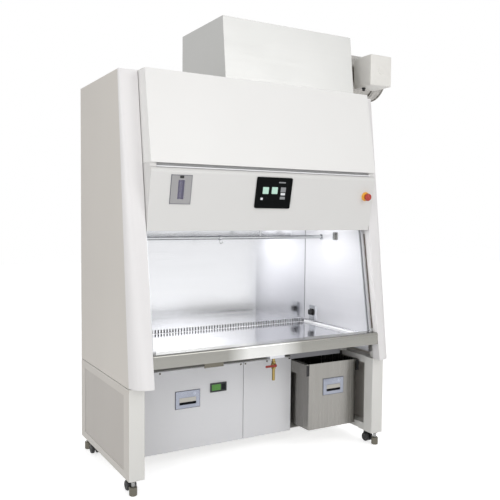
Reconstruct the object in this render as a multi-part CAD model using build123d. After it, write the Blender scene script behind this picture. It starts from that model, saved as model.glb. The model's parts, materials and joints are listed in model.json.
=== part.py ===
"""Biological safety cabinet on a stand, with an exhaust plenum and damper on top.

Millimetres. X runs across the cabinet, with 0 on its middle plane, Y runs in depth, with 0 on
the rear face and the front at negative Y, and Z runs up from the floor. The nodes are moved to
the origin at the end: the middle of the whole bounding box, on the floor.
"""
from math import atan2, cos, degrees, hypot, radians, sin, tan
import os

from build123d import *

# ---- Overall size ----
CABINET_WIDTH = 1500.0
CABINET_HEIGHT = 1960.0
SEAM_HEIGHT = 499.0           # top of the stand
STAND_CLEARANCE = 74.0        # underside of the stand above the floor
SHEET = 1.5                   # folded sheet steel and stainless sheet
ROOF_SHEET = 2.0
TUBE_WALL = 2.0
PANEL_GAP = 3.0               # joint between neighbouring cover panels
SEAT_GAP = 0.3                # between pieces of different bodies that nearly touch
RUNNING_GAP = 0.05            # radial clearance of a shaft in its hole

# ---- Front covers of the side pillars ----
WING_WIDTH = 94.0
WING_LIFT = 7.0               # lower edge above the top of the stand
WING_FRONT_TOP = 608.0        # depth of the front face at the top, from the rear face
WING_FRONT_BOTTOM = 830.0
WING_CORNER_TOP = 8.0         # the outer corner radius grows downwards
WING_CORNER_BOTTOM = 78.0
WING_RETURN = 53.0            # depth of the inner return

# ---- Stand ----
POST_WIDTH = 77.0
POST_DEPTH = 70.0
POST_FRONT = 754.0
POST_EDGE_RADIUS = 5.0
REAR_POST_WIDTH = 60.0
REAR_POST_DEPTH = 60.0
COVER_DEPTH = 15.0            # depth of the side cover pans
TOP_RAIL_HEIGHT = 40.0
UPRIGHT_SETBACK = 8.0         # leaning upright behind the front cover's face
BOTTOM_RAIL_HEIGHT = 36.0
SIDE_RAIL_WIDTH = 66.0
LOWER_PANEL_INSET = 2.0
SHELF_SHEET = 3.0
CROSS_RAIL_HEIGHT = 42.0
CROSS_RAIL_DEPTH = 40.0
CROSS_RAIL_OVERLAP = 18.0
REAR_CROSS_RAIL_Y = 160.0     # front face of the rear bearer

# ---- Feet and casters ----
FOOT_RADIUS = 19.0
FOOT_HEIGHT = 42.0
FOOT_STEM_RADIUS = 8.0
FOOT_X = 720.0
FRONT_FOOT_Y = 727.0
REAR_FOOT_Y = 24.0
CASTER_X = 713.0
CASTER_OFFSET = 76.0          # swivel axis behind the front foot, and ahead of the rear one
CASTER_TRAIL = 20.0
CASTER_WHEEL_RADIUS = 25.0
CASTER_WHEEL_WIDTH = 18.0
CASTER_HUB_WIDTH = 12.0
CASTER_FLOOR_GAP = 5.0
CASTER_PLATE = 4.0
CASTER_PLATE_SIZE = 56.0
CASTER_AXLE_RADIUS = 4.0
KINGPIN_RADIUS = 6.0

# ---- Working chamber ----
CHAMBER_WIDTH = 1300.0
BACK_WALL_Y = 116.0
TRAY_RISE = 80.5              # working surface above the bearers
TRAY_CURB = 18.0
PAN_FRONT = 790.0
APRON_FRONT = 811.0
APRON_RISE = 34.5             # armrest above the working surface
APRON_DROP = 28.5             # its lower edge below the working surface
APRON_DEPTH = 69.0
APRON_EDGE_RADIUS = 12.0
APRON_LIP = 15.0
SLOT_WIDTH = 8.0
SLOT_HEIGHT = 24.0
SLOT_PITCH = 17.8
BACK_SLOT_DROP = 3.5          # foot of the slots below the working surface
CEILING_DROP = 668.0          # chamber ceiling below the roof
LAMP_Y = 610.0
LAMP_DROP = 28.0              # tube centre below the ceiling
LAMP_RADIUS = 13.0
LAMP_LENGTH = 1200.0
ROD_Y = 287.0
ROD_DROP = 126.0              # rod centre below the ceiling
ROD_RADIUS = 10.0
ROD_FLANGE_RADIUS = 17.0
ROD_FLANGE_THICKNESS = 5.0
ROD_POST_X = 211.0
ROD_POST_RADIUS = 7.0
HOOK_X = -52.0
OUTLET_Y = 211.0
OUTLET_WIDTH = 60.0
OUTLET_HEIGHT = 95.0
OUTLET_DEPTH = 9.0

# ---- Sliding sash ----
SASH_TILT = 9.22              # degrees from the vertical
SASH_PLANE_Y = 665.0          # glass centre plane, level with SASH_PLANE_DROP
SASH_PLANE_DROP = 87.0        # below the ceiling
SASH_REST_DROP = 65.0         # lower edge below the ceiling when fully raised
SASH_CLOSED_GAP = 11.3        # lower edge above the armrest when fully lowered
GLASS_THICKNESS = 6.0
GUIDE_DEPTH = 24.0
GUIDE_WIDTH = 14.0
GUIDE_DROP = 53.0             # top of the guides below the roof
GUIDE_FOOT_GAP = 6.0          # guides above the armrest
GROOVE_GAP = 0.5              # each side of the glass in its groove
GLASS_EDGE_GAP = 4.5          # glass edge to the side wall
SASH_RAIL_DEPTH = 16.0
SASH_RAIL_HEIGHT = 30.0
BELT_X = 540.0
BELT_WIDTH = 15.0
BELT_THICKNESS = 2.0
PULLEY_RADIUS = 15.0
PULLEY_TEETH = 18
DRIVE_SHAFT_RADIUS = 12.0
JOURNAL_RADIUS = 8.0
EAR_WALL = 7.0
EAR_GAP = 3.0
CLAMP_HEIGHT = 26.0
DRIVE_DROP = 85.5             # drive shaft below the roof

# ---- Head front ----
HEAD_GAP = 4.0                # between the head and the front covers
HOOD_TOP_Y = 691.0            # service hood face at the top
HOOD_BOTTOM_Y = 769.0
HOOD_DROP = 431.0             # lower edge below the roof
HOOD_HINGE_Y = 672.0
HOOD_KNUCKLE_RADIUS = 6.0
HOOD_KNUCKLE_LENGTH = 40.0
HOOD_PIN_RADIUS = 3.0
HOOD_HINGE_X = (-500.0, 0.0, 500.0)
CHANNEL_TALL = 19.0           # finger channel between the panel and the hood
CHANNEL_BACK_Y = 735.0
CHANNEL_END = 32.0
PANEL_NOSE_Y = 776.0          # control panel, sharp corner before rounding
PANEL_NOSE_RADIUS = 22.0
PANEL_BOTTOM_Y = 716.0
PANEL_TALL = 293.0
PANEL_LIP_Y = 682.0
PANEL_EDGE_RADIUS = 3.0
PANEL_UPSTAND = 33.0          # behind the hood

# ---- Controls on the head ----
SCREEN_X = 5.0
SCREEN_RISE = 189.0           # centre above the lower edge of the panel
SCREEN_WIDTH = 207.0
SCREEN_TALL = 156.0
SCREEN_PROUD = 8.0
SCREEN_BODY_DEPTH = 38.0
SCREEN_BODY_MARGIN = 9.0
GAUGE_X = -500.0
GAUGE_RISE = 192.0
GAUGE_WIDTH = 104.0
GAUGE_TALL = 135.0
GAUGE_PLATE = 3.0
GAUGE_WINDOW_WIDTH = 31.0
GAUGE_WINDOW_TALL = 90.0
GAUGE_BODY_DEPTH = 26.0
GAUGE_TUBE_RADIUS = 10.0
GAUGE_TUBE_WALL = 1.5
FLOAT_HEIGHT = 14.0
FLOAT_TRAVEL = 30.0
ESTOP_X = 596.0
ESTOP_RISE = 184.0
ESTOP_COLLAR_RADIUS = 25.0
ESTOP_COLLAR_HEIGHT = 11.0
ESTOP_BARREL_RADIUS = 11.0
ESTOP_STEM_RADIUS = 8.0
ESTOP_HEAD_RADIUS = 20.0
ESTOP_REACH = 34.0
ESTOP_HEAD_HEIGHT = 15.0
ESTOP_TRAVEL = 4.0

# ---- Lower front ----
LOWER_FRONT_Y = 485.0
DOOR_DEPTH = 20.0
DOOR_LEFT = -673.0            # inner face of the left post
DOOR_RIGHT = -6.0
DOOR_GAP = 4.0
DOOR_PIVOT_RADIUS = 4.0
DOOR_PIVOT_INSET = 13.0
CENTRE_RIGHT = 305.0
LATCH_WIDTH = 137.0
LATCH_TALL = 89.0
LATCH_PROUD = 4.0
LATCH_CORNER = 4.0
POCKET_WIDTH = 98.0
POCKET_TALL = 40.0
POCKET_DEPTH = 18.0
POCKET_RISE = -8.0            # pocket centre above the latch plate's centre
PADDLE_TALL = 21.0
PADDLE_THICKNESS = 4.0
PADDLE_PIN_RADIUS = 2.0
KEY_RADIUS = 8.0
KEY_X = 40.0
KEY_RISE = 27.0
DOOR_LATCH_X = -335.5
DOOR_LATCH_HEIGHT = 337.5
METER_X = -158.0
METER_HEIGHT = 380.0
METER_WIDTH = 96.0
METER_TALL = 48.0
METER_PROUD = 6.0
METER_BODY_WIDTH = 92.0
METER_BODY_TALL = 44.0
METER_BODY_DEPTH = 60.0

# ---- Waste bin ----
BIN_LEFT = 323.0
BIN_WIDTH = 327.0
BIN_FRONT = 639.0
BIN_DEPTH = 300.0
BIN_BOTTOM = 112.0
BIN_TOP_GAP = 20.0            # rim below the top of the stand
BIN_CORNER = 10.0
BIN_RIM = 12.0
BIN_LATCH_HEIGHT = 343.5
ARM_HEIGHT = 65.0
ARM_WIDTH = 14.0
ARM_REACH = 2.0               # the bin's front stands ahead of the arms by this
ARM_REAR_Y = 300.0

# ---- Drain valve ----
VALVE_X = 103.0
VALVE_Y = 620.0
VALVE_DROP = 44.0             # centre of the ball body below the drain pan
VALVE_PIPE_RADIUS = 8.0
VALVE_BALL_RADIUS = 15.0
VALVE_NUT_RADIUS = 13.0
VALVE_TAIL = 415.0
VALVE_LEVER_LENGTH = 62.0
VALVE_STEM_RADIUS = 4.0

# ---- Air handling inside the head ----
FILTER_DEPTH = 70.0
FILTER_FRAME = 10.0           # width of a filter cell's frame
PLEAT_PITCH = 40.0
EXHAUST_FILTER_DEPTH = 78.0
PLENUM_GLASS_GAP = 20.0       # plenum front plate behind the glass
FAN_DROP = 280.0              # fan axis below the top of the pressure plenum
IMPELLER_RADIUS = 190.0
IMPELLER_WIDTH = 110.0
IMPELLER_EYE_RADIUS = 110.0
IMPELLER_HUB_RADIUS = 75.0
IMPELLER_BLADES = 7
BLADE_THICKNESS = 3.0
FAN_PLATE_GAP = 22.0
MOTOR_RADIUS = 60.0
MOTOR_SHAFT_RADIUS = 9.0
MOTOR_LENGTH = 70.0
SPIDER_RADIUS = 225.0
SPIDER_BAR_RADIUS = 6.0
LOWER_FILTER_LEFT = -640.0
LOWER_FILTER_WIDTH = 600.0
LOWER_FILTER_FRONT = 418.0
LOWER_FILTER_BACK = 120.0
LOWER_FILTER_HEIGHT = 360.0

# ---- Exhaust plenum and damper ----
EXHAUST_LEFT = -221.0            # exhaust plenum, left side
EXHAUST_RIGHT = 576.0
EXHAUST_BACK_Y = 150.0
EXHAUST_FRONT_BOTTOM_Y = 664.0
EXHAUST_FRONT_TOP_Y = 627.0
EXHAUST_HEIGHT = 315.0
EXHAUST_FILTER_FRONT = 520.0
DUCT_RADIUS = 125.0
DUCT_Y = 400.0
DUCT_ABOVE_MIDDLE = 2.5       # duct axis above the middle of the plenum
DUCT_END = 926.0
DUCT_FLANGE_WIDTH = 15.0
DUCT_BEAD = 6.0
DUCT_SOCKET_DEPTH = 58.0      # widened end that takes the next duct
DUCT_BEAD_X = 848.0
DAMPER_X = 743.5
DAMPER_GAP = 2.5
DAMPER_BLADE = 3.0
DAMPER_SHAFT_RADIUS = 6.0
DAMPER_BOSS_RADIUS = 14.0
ACTUATOR_WIDTH = 149.0
ACTUATOR_DEPTH = 150.0
ACTUATOR_TALL = 168.0
ACTUATOR_FRONT = 696.0
ACTUATOR_DROP = 17.0          # middle of the drive box below the duct axis
ACTUATOR_EDGE_RADIUS = 6.0

# ---- Worked out from the sizes above ----
HALF_WIDTH = CABINET_WIDTH / 2
HALF_CHAMBER = CHAMBER_WIDTH / 2
POST_INNER = HALF_WIDTH - POST_WIDTH
WING_INNER = HALF_WIDTH - WING_WIDTH
HEAD_HALF = WING_INNER - HEAD_GAP
FRAME_OUTER = HALF_WIDTH - COVER_DEPTH
DUCT_INNER_RADIUS = DUCT_RADIUS - SHEET
DUCT_SOCKET_RADIUS = DUCT_RADIUS + SEAT_GAP
TILT_SLOPE = tan(radians(SASH_TILT))
SASH_RISE = cos(radians(SASH_TILT))

# ---- Heights above the floor that follow from these ----
SHELF_TOP = STAND_CLEARANCE + SHELF_SHEET
LOWER_TOP = SEAM_HEIGHT - PANEL_GAP
BIN_TOP = SEAM_HEIGHT - BIN_TOP_GAP
WING_BOTTOM = SEAM_HEIGHT + WING_LIFT
BENCH_BASE = SEAM_HEIGHT + CROSS_RAIL_HEIGHT
VALVE_HEIGHT = BENCH_BASE - VALVE_DROP
TRAY_HEIGHT = BENCH_BASE + TRAY_RISE
BACK_SLOT_BOTTOM = TRAY_HEIGHT - BACK_SLOT_DROP
APRON_BOTTOM = TRAY_HEIGHT - APRON_DROP
APRON_TOP = TRAY_HEIGHT + APRON_RISE
GUIDE_BOTTOM = APRON_TOP + GUIDE_FOOT_GAP
ROOF_UNDER = CABINET_HEIGHT - ROOF_SHEET
CEILING_HEIGHT = ROOF_UNDER - CEILING_DROP
ROD_HEIGHT = CEILING_HEIGHT - ROD_DROP
PLENUM_DECK = ROOF_UNDER - EXHAUST_FILTER_DEPTH
FAN_HEIGHT = PLENUM_DECK - FAN_DROP
HOOD_BOTTOM = ROOF_UNDER - HOOD_DROP
CHANNEL_BOTTOM = HOOD_BOTTOM - CHANNEL_TALL
PANEL_BOTTOM = CHANNEL_BOTTOM - PANEL_TALL
PANEL_TOP = HOOD_BOTTOM + PANEL_UPSTAND
PANEL_LEAN = (PANEL_NOSE_Y - PANEL_BOTTOM_Y) / PANEL_TALL
SCREEN_HEIGHT = PANEL_BOTTOM + SCREEN_RISE
GAUGE_HEIGHT = PANEL_BOTTOM + GAUGE_RISE
ESTOP_HEIGHT = PANEL_BOTTOM + ESTOP_RISE
DUCT_HEIGHT = CABINET_HEIGHT + EXHAUST_HEIGHT / 2 + DUCT_ABOVE_MIDDLE
ACTUATOR_HEIGHT = DUCT_HEIGHT - ACTUATOR_DROP

# ---- Sash, its shafts and the frame of reference ----
SASH_PLANE_HEIGHT = CEILING_HEIGHT - SASH_PLANE_DROP
SASH_REST_HEIGHT = CEILING_HEIGHT - SASH_REST_DROP
SASH_REST_Y = SASH_PLANE_Y - (SASH_REST_HEIGHT - SASH_PLANE_HEIGHT) * TILT_SLOPE
SASH_TRAVEL = (SASH_REST_HEIGHT - APRON_TOP - SASH_CLOSED_GAP) / SASH_RISE
GUIDE_TOP = ROOF_UNDER - GUIDE_DROP
DRIVE_HEIGHT = ROOF_UNDER - DRIVE_DROP
SASH_LENGTH = (DRIVE_HEIGHT - SASH_REST_HEIGHT) / SASH_RISE - CLAMP_HEIGHT - 2 * PULLEY_RADIUS
IDLER_HEIGHT = SASH_REST_HEIGHT + (SASH_LENGTH - SASH_TRAVEL - CLAMP_HEIGHT) * SASH_RISE
ORIGIN_X = (DUCT_END - HALF_WIDTH) / 2
ORIGIN_Y = -WING_FRONT_BOTTOM / 2


# ---- Small helpers ----
def block(x0, x1, y0, y1, z0, z1):
    """A rectangular piece between two opposite corners."""
    size = (abs(x1 - x0), abs(y1 - y0), abs(z1 - z0))
    return Pos(min(x0, x1), min(y0, y1), min(z0, z1)) * Box(*size, align=(Align.MIN,) * 3)


def prism_x(outline, x0, x1):
    """An outline of (Y, Z) points, or a face in the YZ plane, drawn out along X."""
    face = outline if isinstance(outline, (Face, Sketch)) else yz_face(outline)
    return Pos(x0, 0, 0) * extrude(face, amount=x1 - x0, dir=(1, 0, 0))


def yz_face(outline):
    """A flat face from (Y, Z) points, at X = 0."""
    return Plane.YZ * make_face(Polyline(*outline, close=True))


def bar_x(radius, x0, x1, y, z):
    """A round bar along X."""
    lying = Rot(0, 90, 0) * Cylinder(radius, x1 - x0, align=(Align.CENTER, Align.CENTER, Align.MIN))
    return Pos(x0, y, z) * lying


def bar_y(radius, y0, y1, x, z):
    """A round bar along Y."""
    lying = Rot(-90, 0, 0) * Cylinder(radius, y1 - y0, align=(Align.CENTER, Align.CENTER, Align.MIN))
    return Pos(x, y0, z) * lying


def bar_z(radius, z0, z1, x, y):
    """A round bar along Z."""
    return Pos(x, y, z0) * Cylinder(radius, z1 - z0, align=(Align.CENTER, Align.CENTER, Align.MIN))


def turned(profile):
    """A body turned about Z from (radius, height) points."""
    return revolve(Plane.XZ * make_face(Polyline(*profile, close=True)), Axis.Z)


def both_sides(piece):
    """A piece and its mirror image across the cabinet."""
    return [piece, mirror(piece, about=Plane.YZ)]


def row(count, pitch, centre=0.0):
    """Evenly spaced places about a centre."""
    first = centre - (count - 1) * pitch / 2
    return [first + index * pitch for index in range(count)]


def sash_y(height):
    """Y of the glass centre plane at a height."""
    return -SASH_PLANE_Y + (height - SASH_PLANE_HEIGHT) * TILT_SLOPE


def sash_place(height=SASH_REST_HEIGHT):
    """Frame on the glass plane: X across, Y square to the glass and Z up the slope."""
    return Pos(0, sash_y(height), height) * Rot(-SASH_TILT, 0, 0)


def guide_edge(height):
    """Y of the front edge of the side wall, which carries the glass guide."""
    return sash_y(height) - GUIDE_DEPTH / 2 / SASH_RISE


def panel_face_y(height):
    """Y of the control panel's leaning face."""
    return -PANEL_BOTTOM_Y - (height - PANEL_BOTTOM) * PANEL_LEAN


def panel_place(x, height):
    """Frame on the control panel's face: X across, Y up the face and Z outwards."""
    lean = degrees(atan2(PANEL_LEAN, 1))
    return Pos(x, panel_face_y(height), height) * Rot(90 + lean, 0, 0)


# ---- Stand ----
def tube_post(x0, x1, y0, y1, z0, z1):
    """A hollow upright with a closed foot plate."""
    inside = block(x0 + TUBE_WALL, x1 - TUBE_WALL, y0 + TUBE_WALL, y1 - TUBE_WALL, z0 + 2 * TUBE_WALL, z1)
    return block(x0, x1, y0, y1, z0, z1) - inside


def tube_rail_y(x0, x1, y0, y1, z0, z1):
    """A hollow rail along Y, open at its ends."""
    inside = block(x0 + TUBE_WALL, x1 - TUBE_WALL, y0, y1, z0 + TUBE_WALL, z1 - TUBE_WALL)
    return block(x0, x1, y0, y1, z0, z1) - inside


def tube_rail_x(x0, x1, y0, y1, z0, z1):
    """A hollow rail along X, open at its ends."""
    inside = block(x0, x1, y0 + TUBE_WALL, y1 - TUBE_WALL, z0 + TUBE_WALL, z1 - TUBE_WALL)
    return block(x0, x1, y0, y1, z0, z1) - inside


def front_post():
    """Box post with softened front edges."""
    post = block(-HALF_WIDTH, -POST_INNER, -POST_FRONT, POST_DEPTH - POST_FRONT, STAND_CLEARANCE, SEAM_HEIGHT)
    front_edges = post.edges().filter_by(Axis.Z).sort_by(Axis.Y)[:2]
    inside = block(
        TUBE_WALL - HALF_WIDTH, -POST_INNER - TUBE_WALL, TUBE_WALL - POST_FRONT,
        POST_DEPTH - POST_FRONT - TUBE_WALL, STAND_CLEARANCE + 2 * TUBE_WALL, SEAM_HEIGHT,
    )
    return fillet(front_edges, POST_EDGE_RADIUS) - inside


def head_upright():
    """Leaning upright inside the front cover, from the post to the roof rail."""
    top_front = -WING_FRONT_TOP + UPRIGHT_SETBACK
    bottom_front = -POST_FRONT + UPRIGHT_SETBACK
    outline = [
        (bottom_front, SEAM_HEIGHT), (bottom_front + TOP_RAIL_HEIGHT, SEAM_HEIGHT),
        (top_front + TOP_RAIL_HEIGHT, CABINET_HEIGHT - SHEET), (top_front, CABINET_HEIGHT - SHEET),
    ]
    hollow = [
        (outline[0][0] + TUBE_WALL, outline[0][1]), (outline[1][0] - TUBE_WALL, outline[1][1]),
        (outline[2][0] - TUBE_WALL, outline[2][1]), (outline[3][0] + TUBE_WALL, outline[3][1]),
    ]
    solid = prism_x(outline, -FRAME_OUTER, TOP_RAIL_HEIGHT - FRAME_OUTER)
    return solid - prism_x(hollow, TUBE_WALL - FRAME_OUTER, TOP_RAIL_HEIGHT - FRAME_OUTER - TUBE_WALL)


def caster_plate(y):
    """Square plate under the bottom rail, bored for the caster's kingpin."""
    half = CASTER_PLATE_SIZE / 2
    plate = block(-CASTER_X - half, half - CASTER_X, y - half, y + half,
                  STAND_CLEARANCE - CASTER_PLATE, STAND_CLEARANCE)
    hole = bar_z(KINGPIN_RADIUS + RUNNING_GAP, STAND_CLEARANCE - CASTER_PLATE, STAND_CLEARANCE, -CASTER_X, y)
    return plate - hole


def pivot_bracket(shelf_front):
    """Stepped plate under the shelf's front edge, bored for the door's lower pivot pin."""
    x, y = door_pivot()
    low, high = pivot_bracket_heights()
    left, right = x - DOOR_PIVOT_INSET, x + 2 * DOOR_PIVOT_INSET
    back = shelf_front + CROSS_RAIL_DEPTH
    plate = block(left, right, -LOWER_FRONT_Y, back, low, high)
    plate += block(left, right, shelf_front, back, high, STAND_CLEARANCE)
    return plate - bar_z(DOOR_PIVOT_RADIUS + RUNNING_GAP, low, high, x, y)


def pivot_bracket_heights():
    """Underside and top of the bracket below the door."""
    top = STAND_CLEARANCE - SEAT_GAP
    return top - SHELF_SHEET, top


def stand_frame():
    post_back = POST_DEPTH - POST_FRONT
    rear_front = -REAR_POST_DEPTH - PANEL_GAP
    rail_inner = SIDE_RAIL_WIDTH - HALF_WIDTH
    upright_back = -WING_FRONT_TOP + UPRIGHT_SETBACK + TOP_RAIL_HEIGHT
    side = [
        front_post(),
        tube_post(-HALF_WIDTH, REAR_POST_WIDTH - HALF_WIDTH, rear_front, -SHEET, STAND_CLEARANCE, SEAM_HEIGHT),
        tube_post(-FRAME_OUTER, REAR_POST_WIDTH - HALF_WIDTH, rear_front, -SHEET, SEAM_HEIGHT, ROOF_UNDER),
        tube_rail_y(-HALF_WIDTH, rail_inner, post_back, rear_front, SEAM_HEIGHT - TOP_RAIL_HEIGHT, SEAM_HEIGHT),
        tube_rail_y(-HALF_WIDTH, rail_inner, post_back, rear_front,
                    STAND_CLEARANCE, STAND_CLEARANCE + BOTTOM_RAIL_HEIGHT),
        tube_rail_y(-FRAME_OUTER, TOP_RAIL_HEIGHT - FRAME_OUTER, upright_back, rear_front,
                    ROOF_UNDER - TOP_RAIL_HEIGHT, ROOF_UNDER),
        head_upright(),
        caster_plate(-FRONT_FOOT_Y + CASTER_OFFSET),
        caster_plate(-REAR_FOOT_Y - CASTER_OFFSET),
    ]
    pieces = [solid for member in side for solid in both_sides(member)]
    reach = -rail_inner + CROSS_RAIL_OVERLAP
    x, y = door_pivot()
    hole = bar_z(DOOR_PIVOT_RADIUS + RUNNING_GAP, SEAM_HEIGHT, SEAM_HEIGHT + TUBE_WALL, x, y)
    for front in (-LOWER_FRONT_Y, -REAR_CROSS_RAIL_Y):
        rail = tube_rail_x(-reach, reach, front, front + CROSS_RAIL_DEPTH, SEAM_HEIGHT, BENCH_BASE)
        pieces.append(rail - hole)
    shelf_front = y + hypot(DOOR_PIVOT_INSET, DOOR_DEPTH / 2) + PANEL_GAP
    pieces.append(block(rail_inner, -rail_inner, shelf_front, rear_front, STAND_CLEARANCE, SHELF_TOP))
    pieces.append(pivot_bracket(shelf_front))
    return pieces


def lower_side_panels():
    """Pans set into the side frames of the stand."""
    y0 = POST_DEPTH - POST_FRONT + PANEL_GAP
    y1 = -REAR_POST_DEPTH - 2 * PANEL_GAP
    z0 = STAND_CLEARANCE + BOTTOM_RAIL_HEIGHT
    z1 = SEAM_HEIGHT - TOP_RAIL_HEIGHT
    outer = LOWER_PANEL_INSET - HALF_WIDTH
    pan = block(outer, outer + COVER_DEPTH, y0, y1, z0, z1)
    hollow = block(outer + SHEET, outer + COVER_DEPTH, y0 + SHEET, y1 - SHEET, z0 + SHEET, z1 - SHEET)
    return both_sides(pan - hollow)


# ---- Outer covers ----
def wing_section(height, inset):
    """Plan outline of a front cover at a height, drawn in from the outer skin by an inset."""
    share = (height - WING_BOTTOM) / (CABINET_HEIGHT - WING_BOTTOM)
    front = -WING_FRONT_BOTTOM + (WING_FRONT_BOTTOM - WING_FRONT_TOP) * share + inset
    radius = WING_CORNER_BOTTOM + (WING_CORNER_TOP - WING_CORNER_BOTTOM) * share - inset
    outer = inset - HALF_WIDTH
    inner = -WING_INNER - inset
    rim = SHEET + 8 * inset
    tangent = front + radius
    arc = RadiusArc((outer, tangent), (outer + radius, front), -radius)
    lines = Polyline(
        (outer + radius, front), (inner, front), (inner, front - inset + WING_RETURN + rim),
        (outer, tangent + rim), (outer, tangent),
    )
    return Pos(0, 0, height) * make_face([arc, lines])


def wings():
    """Leaning front covers: sheet, open to the rear, with closed top and bottom."""
    skin = loft([wing_section(WING_BOTTOM, 0), wing_section(CABINET_HEIGHT, 0)], ruled=True)
    low, high = WING_BOTTOM + SHEET, CABINET_HEIGHT - SHEET
    hollow = loft([wing_section(low, SHEET), wing_section(high, SHEET)], ruled=True)
    return both_sides(skin - hollow)


def upper_side_panels():
    """Flat side covers with a leaning front edge and folded rims."""
    low, high = SEAM_HEIGHT + PANEL_GAP, CABINET_HEIGHT - SHEET
    slope = (WING_FRONT_BOTTOM - WING_CORNER_BOTTOM - WING_FRONT_TOP + WING_CORNER_TOP)
    slope = slope / (CABINET_HEIGHT - WING_BOTTOM)

    def edge(height, inset):
        return -WING_FRONT_TOP + WING_CORNER_TOP - (CABINET_HEIGHT - height) * slope + SHEET + inset

    def outline(inset):
        return [
            (-SHEET - inset, low + inset), (edge(low, inset), low + inset),
            (edge(high, inset), high - inset), (-SHEET - inset, high - inset),
        ]

    pan = prism_x(outline(0), -HALF_WIDTH, -FRAME_OUTER)
    return both_sides(pan - prism_x(outline(SHEET), SHEET - HALF_WIDTH, -FRAME_OUTER))


def rear_panels():
    """Upper and lower sheets that close the back."""
    reach = HALF_WIDTH - PANEL_GAP
    return [
        block(-reach, reach, -SHEET, 0, SEAM_HEIGHT + PANEL_GAP, CABINET_HEIGHT - SHEET),
        block(-reach, reach, -SHEET, 0, STAND_CLEARANCE, SEAM_HEIGHT - PANEL_GAP),
    ]


def hinge_lug(x, side):
    """Plate beside a hood knuckle, with half of its pin."""
    inner = x + side * (HOOD_KNUCKLE_LENGTH / 2 + SEAT_GAP)
    outer = inner + side * HOOD_KNUCKLE_RADIUS
    centre_z = ROOF_UNDER - HOOD_KNUCKLE_RADIUS
    plate = block(inner, outer, -HOOD_HINGE_Y - HOOD_KNUCKLE_RADIUS, -HOOD_HINGE_Y + 2 * HOOD_KNUCKLE_RADIUS,
                  ROOF_UNDER - 2 * HOOD_KNUCKLE_RADIUS, ROOF_UNDER)
    low, high = sorted((inner, x + side * SEAT_GAP))
    return plate + bar_x(HOOD_PIN_RADIUS, low, high, -HOOD_HINGE_Y, centre_z)


def head_top_panel():
    """Roof sheet with the exhaust opening, a folded front edge and the hood's hinge lugs."""
    front = -HOOD_HINGE_Y + HOOD_KNUCKLE_RADIUS + SHEET
    behind_covers = -WING_FRONT_TOP + WING_RETURN + PANEL_GAP + SHEET
    sheet = block(-HEAD_HALF, HEAD_HALF, front, -SHEET, ROOF_UNDER, CABINET_HEIGHT)
    sheet += block(-FRAME_OUTER, FRAME_OUTER, behind_covers, -SHEET, ROOF_UNDER, CABINET_HEIGHT)
    rim = FILTER_FRAME
    opening = block(EXHAUST_LEFT + rim, EXHAUST_RIGHT - rim, -EXHAUST_FILTER_FRONT + rim, -EXHAUST_BACK_Y - rim,
                    ROOF_UNDER, CABINET_HEIGHT)
    roof = sheet - opening
    for x in HOOD_HINGE_X:
        for side in (-1, 1):
            roof += hinge_lug(x, side)
    return [roof]


# ---- Working chamber ----
def chamber_back_wall():
    """Stainless wall with a row of upright return-air slots near its foot."""
    wall = block(-HALF_CHAMBER, HALF_CHAMBER, -BACK_WALL_Y, SHEET - BACK_WALL_Y, BENCH_BASE, CEILING_HEIGHT)
    count = int((CHAMBER_WIDTH - SLOT_PITCH) // SLOT_PITCH)
    cutter = [
        block(x - SLOT_WIDTH / 2, x + SLOT_WIDTH / 2, -BACK_WALL_Y, SHEET - BACK_WALL_Y,
              BACK_SLOT_BOTTOM, BACK_SLOT_BOTTOM + SLOT_HEIGHT)
        for x in row(count, SLOT_PITCH)
    ]
    return [wall - cutter]


def belt_back_offset():
    """Distance from the glass centre plane to the back of the belt's rear run."""
    return GLASS_THICKNESS / 2 + SASH_RAIL_DEPTH / 2


def pulley_axis_offset():
    """Place of the pulley axes square to the glass; negative is in front of it."""
    return -(belt_back_offset() + BELT_THICKNESS + PULLEY_RADIUS)


def belt_centre(height):
    """(Y, Z) of a belt pulley's axis in front of the glass."""
    offset, tilt = pulley_axis_offset(), radians(SASH_TILT)
    return sash_y(height) + offset * cos(tilt), height - offset * sin(tilt)


def chamber_side_walls():
    """Full-height inner walls: chamber sides below, sides of the air plenum above."""
    apron_back = -APRON_FRONT + APRON_DEPTH + PANEL_GAP
    outline = [
        (-SHEET, BENCH_BASE), (apron_back, BENCH_BASE), (apron_back, GUIDE_BOTTOM),
        (guide_edge(GUIDE_BOTTOM), GUIDE_BOTTOM), (guide_edge(ROOF_UNDER), ROOF_UNDER), (-SHEET, ROOF_UNDER),
    ]
    wall = prism_x(outline, -HALF_CHAMBER - SHEET, -HALF_CHAMBER)
    foot = block(-HALF_CHAMBER - TOP_RAIL_HEIGHT, -HALF_CHAMBER, apron_back, -REAR_CROSS_RAIL_Y,
                 BENCH_BASE, BENCH_BASE + SHEET)
    return both_sides(wall + foot)


def work_tray():
    """Removable stainless work surface with turned-up sides."""
    side = HALF_CHAMBER - SHEET
    front = -APRON_FRONT + APRON_DEPTH - PANEL_GAP
    back = -BACK_WALL_Y - PANEL_GAP
    floor = block(-side, side, front, back, TRAY_HEIGHT - SHEET, TRAY_HEIGHT)
    for edge in (-side, side - SHEET):
        floor += block(edge, edge + SHEET, front, back, TRAY_HEIGHT - SHEET, TRAY_HEIGHT + TRAY_CURB)
    return [floor]


def drain_pan():
    """Shallow pan under the work surface, with its drain spigot."""
    side = HALF_CHAMBER - 2 * SHEET
    back = -BACK_WALL_Y - PANEL_GAP
    top = TRAY_HEIGHT - SHEET
    pan = block(-side, side, -PAN_FRONT, back, BENCH_BASE, top)
    pan -= block(SHEET - side, side - SHEET, SHEET - PAN_FRONT, back - SHEET, BENCH_BASE + SHEET, top)
    drain = bar_z(VALVE_PIPE_RADIUS - SHEET, BENCH_BASE, BENCH_BASE + SHEET, VALVE_X, -VALVE_Y)
    return [pan - drain]


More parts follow.
